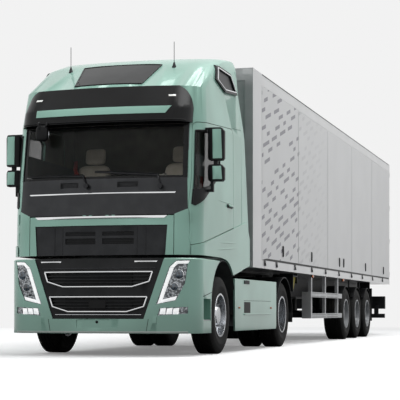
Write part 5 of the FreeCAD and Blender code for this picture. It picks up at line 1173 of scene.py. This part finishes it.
def dashed_gelcoat():
    """Gelcoat with a printed field of slanted dashes: on the skewed grid s = (z - 0.27 y) / 0.13,
    t = (y - 0.235 row) / 0.56, a cell holds a dash where its random number is high, and the print
    is strong on the first panel, pale on the second and gone by the third."""
    parts = material("printed_panel_gelcoat", Roughness=0.36, Coat_Weight=0.25)
    tree = parts[1]
    axes = add(tree, "SeparateXYZ", {0: add(tree, "TexCoord").outputs["Object"]})
    known = {"y_world": axes.outputs["Y"], "z": axes.outputs["Z"]}

    def work_out(*steps):
        for result, operation, *values in steps:
            known[result] = add(tree, "Math", {k: known.get(v, v) for k, v in enumerate(values)},
                                operation=operation).outputs[0]

    work_out(("y", "SUBTRACT", "y_world", FRONT_Y), ("skew", "MULTIPLY_ADD", "y", -0.27, "z"),
             ("s", "DIVIDE", "skew", 0.13), ("row", "FLOOR", "s"),
             ("shifted", "MULTIPLY_ADD", "row", -0.235, "y"), ("t", "DIVIDE", "shifted", 0.56),
             ("column", "FLOOR", "t"))
    cell = add(tree, "CombineXYZ", {0: known["row"], 1: known["column"]})
    chance = add(tree, "TexWhiteNoise", {"Vector": cell}, noise_dimensions="2D")
    split = add(tree, "SeparateColor", {0: chance.outputs["Color"]})
    for name, start, end, last in (("fade", 6.0, 6.15, 0.24), ("gone", 6.2, 8.9, 0.0)):
        known[name] = add(tree, "MapRange", {"Value": known["y"], 1: start, 2: end, 3: 1.0,
                                             4: last}).outputs[0]
    known.update(first=split.outputs[0], second=split.outputs[1])
    work_out(("held", "GREATER_THAN", "first", 0.18),
             ("reach", "MULTIPLY_ADD", "second", 0.40, 0.30), ("s_in", "FRACT", "s"),
             ("t_in", "FRACT", "t"), ("aside", "SUBTRACT", "s_in", 0.5),
             ("off", "ABSOLUTE", "aside"), ("across", "LESS_THAN", "off", 0.22),
             ("length", "LESS_THAN", "t_in", "reach"), ("cut", "MULTIPLY", "held", "across"),
             ("mark", "MULTIPLY", "cut", "length"), ("pale", "MULTIPLY", "mark", "fade"),
             ("ink", "MULTIPLY", "pale", "gone"))
    ground = varied(tree, object_noise(tree, 700.0, 3.0), "#c2c3c4", "#c6c7c8")
    mixed = add(tree, "Mix", {"Factor": known["ink"], "A": ground, "B": linear("#5f5e69")},
                data_type="RGBA").outputs["Result"]
    return finished(parts, mixed, object_noise(tree, 90.0, 2.0), deep_mm=0.25)


refined("side_panels", [dashed_gelcoat()], round_mm=2.0)
panels = skin_of("side_panels", "box_body")
BOX_FRONT, BOX_BACK, PANEL_PITCH = 3.452, 16.30, 2.5746
HOOKS = (3.62, 4.40, 5.74, 7.12, 8.37, 9.72, 11.13, 12.46, 13.84, 15.30)
PULLS = (4.85, 7.10, 9.77, 10.23, 12.87, 15.45)
MARKERS = (7.27, 10.26)
for side, sign in SIDES:
    hooks, rivets = [], []
    for y in HOOKS:
        hooks.append(block(sign * 1.274, sign * 1.284, y - 0.05, y + 0.05, 1.262, 1.302))
        hooks.append(swept(along([(sign * far, y + step, z) for far, step, z in (
            (1.277, -0.03, 1.27), (1.286, -0.03, 1.225), (1.286, 0.03, 1.225),
            (1.277, 0.03, 1.27))], 20), 0.008, up=(1, 0, 0)))
    for z in (3.86, 3.965):
        for y in np.arange(3.05, 16.3, 0.30):
            rivets.append(turned([(0.0, 0.0), (0.0, 0.007), (0.003, 0.004), (0.004, 0.0)],
                                 (sign * 1.2745, y, z), "x", 8))
    for name, forms, made, slot, edge in (
            # Black strips: the lower one is painted shade in the bottom rail's lashing slot, the
            # upper one a dark line along the roof's edge.
            ("panel_gaskets_", [plate(oblong(BOX_FRONT, BOX_BACK, low, high, 40, 2), side,
                                      panels, 0.002)
                                for low, high in ((1.300, 1.332), (3.984, 3.998))],
             seal_rubber, "black_trim", 0.0),
            ("seam_covers_", [plate(oblong(y - 0.014, y + 0.014, 1.33, 3.828, 4, 8), side,
                                    panels, 0.004)
                              for y in [3.45 + PANEL_PITCH * k for k in range(1, 5)]],
             box_lacquer, "trailer_white", 1.0),
            ("lashing_hooks_", hooks, satin_black, "trailer_steel", 0.0),
            ("panel_pulls_", [pod((sign * 1.279, y, 1.48), (0.012, 0.028, 0.085), 0.4)
                              for y in PULLS], black_plastic, "black_trim", 0.0),
            ("trailer_markers_", [pod((sign * 1.262, y, 1.150), (0.016, 0.05, 0.024), 0.5)
                                  for y in MARKERS], amber_lens, "lamp_lens", 0.0),
            ("marker_feet_", [block(sign * 1.235, sign * 1.262, y - 0.03, y + 0.03, 1.14, 1.185)
                              for y in MARKERS], satin_black, "trailer_steel", 0.0),
            ("rail_rivets_", rivets, box_lacquer, "trailer_white", 0.0)):
        piece(name + side, TRAILER, forms, made, round_mm=edge)
piece("corner_castings", TRAILER, [
    pod((sign * 1.19, 2.925, z), (0.078, 0.028, 0.055), 0.35)
    for sign in (1.0, -1.0) for z in (3.94, 1.23)], box_lacquer)
box_top = skin_of("box_body")
piece("roof_seams", TRAILER, [
    plate(oblong(-1.2, 1.2, y - 0.02, y + 0.02, 6, 3), "top", box_top, 0.002)
    for y in [4.1 + 1.24 * k for k in range(10)]], box_lacquer)


# Rear doors: foam-cored leaves with rubber round their edges, zinc lock rods, two folding
# handles each, lamp clusters on the bumper beam, and guards and flaps at the wheels.
zinc_steel = metal("zinc_plated_door_gear", "#8d9092", "#a5a7a9", 0.36, 0.9)
LEAF_FACE = 16.4435    # the leaves' outer faces; hinges, rods and guides stand behind it
outline = around([(0.012, 1.21), (1.246, 1.21), (1.246, 3.98), (0.012, 3.98)], 12)
for side, sign in SIDES:
    name, body = "rear_door_" + side, side + "_rear_door"
    refined(name, [box_lacquer, zinc_steel], lambda c, n: c[:, 1] > LEAF_FACE, 2.0)
    ring = np.stack([sign * outline[:, 0], np.full(len(outline), LEAF_FACE), outline[:, 1]],
                    axis=1)
    piece("door_gasket_" + side, body, swept(ring, 0.010, 6, 0.5, (0, 1, 0), True), seal_rubber)
    gear = []
    for x in (0.330, 0.900):
        gear.append(block(sign * (x - 0.05), sign * (x + 0.05), 16.440, 16.452, 1.98, 2.10))
        gear.append(swept(along([(sign * x, 16.462, 2.06), (sign * (x - 0.06), 16.474, 2.05),
                                 (sign * (x - 0.30), 16.474, 2.05)], 16), 0.013, 8, 0.6))
        gear.append(block(sign * (x - 0.29), sign * (x - 0.22), 16.440, 16.466, 2.02, 2.08))
    piece("lock_handles_" + side, body, gear, zinc_steel)
beam = skin_of("trailer_frame")
for name, near, far, made in (("tail_lamps", 0.0, 0.16, red_lens),
                              ("rear_indicators", 0.165, 0.275, amber_lens),
                              ("reversing_lamps", 0.28, 0.38, lamp_glass)):
    piece(name, TRAILER, [
        plate(oblong(x0, x1, 0.66, 0.85, 10, 8), "rear", beam, 0.012, crown=0.010)
        for x0, x1 in ((0.79 + near, 0.79 + far), (-0.79 - far, -0.79 - near))], made,
          round_mm=4.0)
piece("blank_plate", TRAILER, plate(oblong(-0.26, 0.26, 0.40, 0.485, 8, 3), "rear", beam, 0.004),
      box_lacquer, round_mm=1.0)
flaps, guards, hangers = [], [], []
for sign in (1.0, -1.0):
    x0, x1 = sorted((sign * 0.86, sign * 1.235))
    flaps.append(block(x0, x1, 14.02, 14.03, 0.34, 1.05))
    flaps.append(block(x0 + 0.05, x1 - 0.05, 14.01, 14.05, 1.02, 1.185))
    for y in TRAILER_AXLES:
        guards.append(arch_liner(x0, x1, 0.545, 38, 142, y, 0.505))
        hangers.append(swept(along([(sign * 1.05, y, 1.03), (sign * 1.05, y, 1.185)], 4), 0.018,
                             up=(0, 1, 0)))
piece("mud_flaps", TRAILER, flaps, seal_rubber, round_mm=2.0)
piece("trailer_wheel_guards", TRAILER, guards, black_plastic)
piece("guard_hangers", TRAILER, hangers, satin_black)
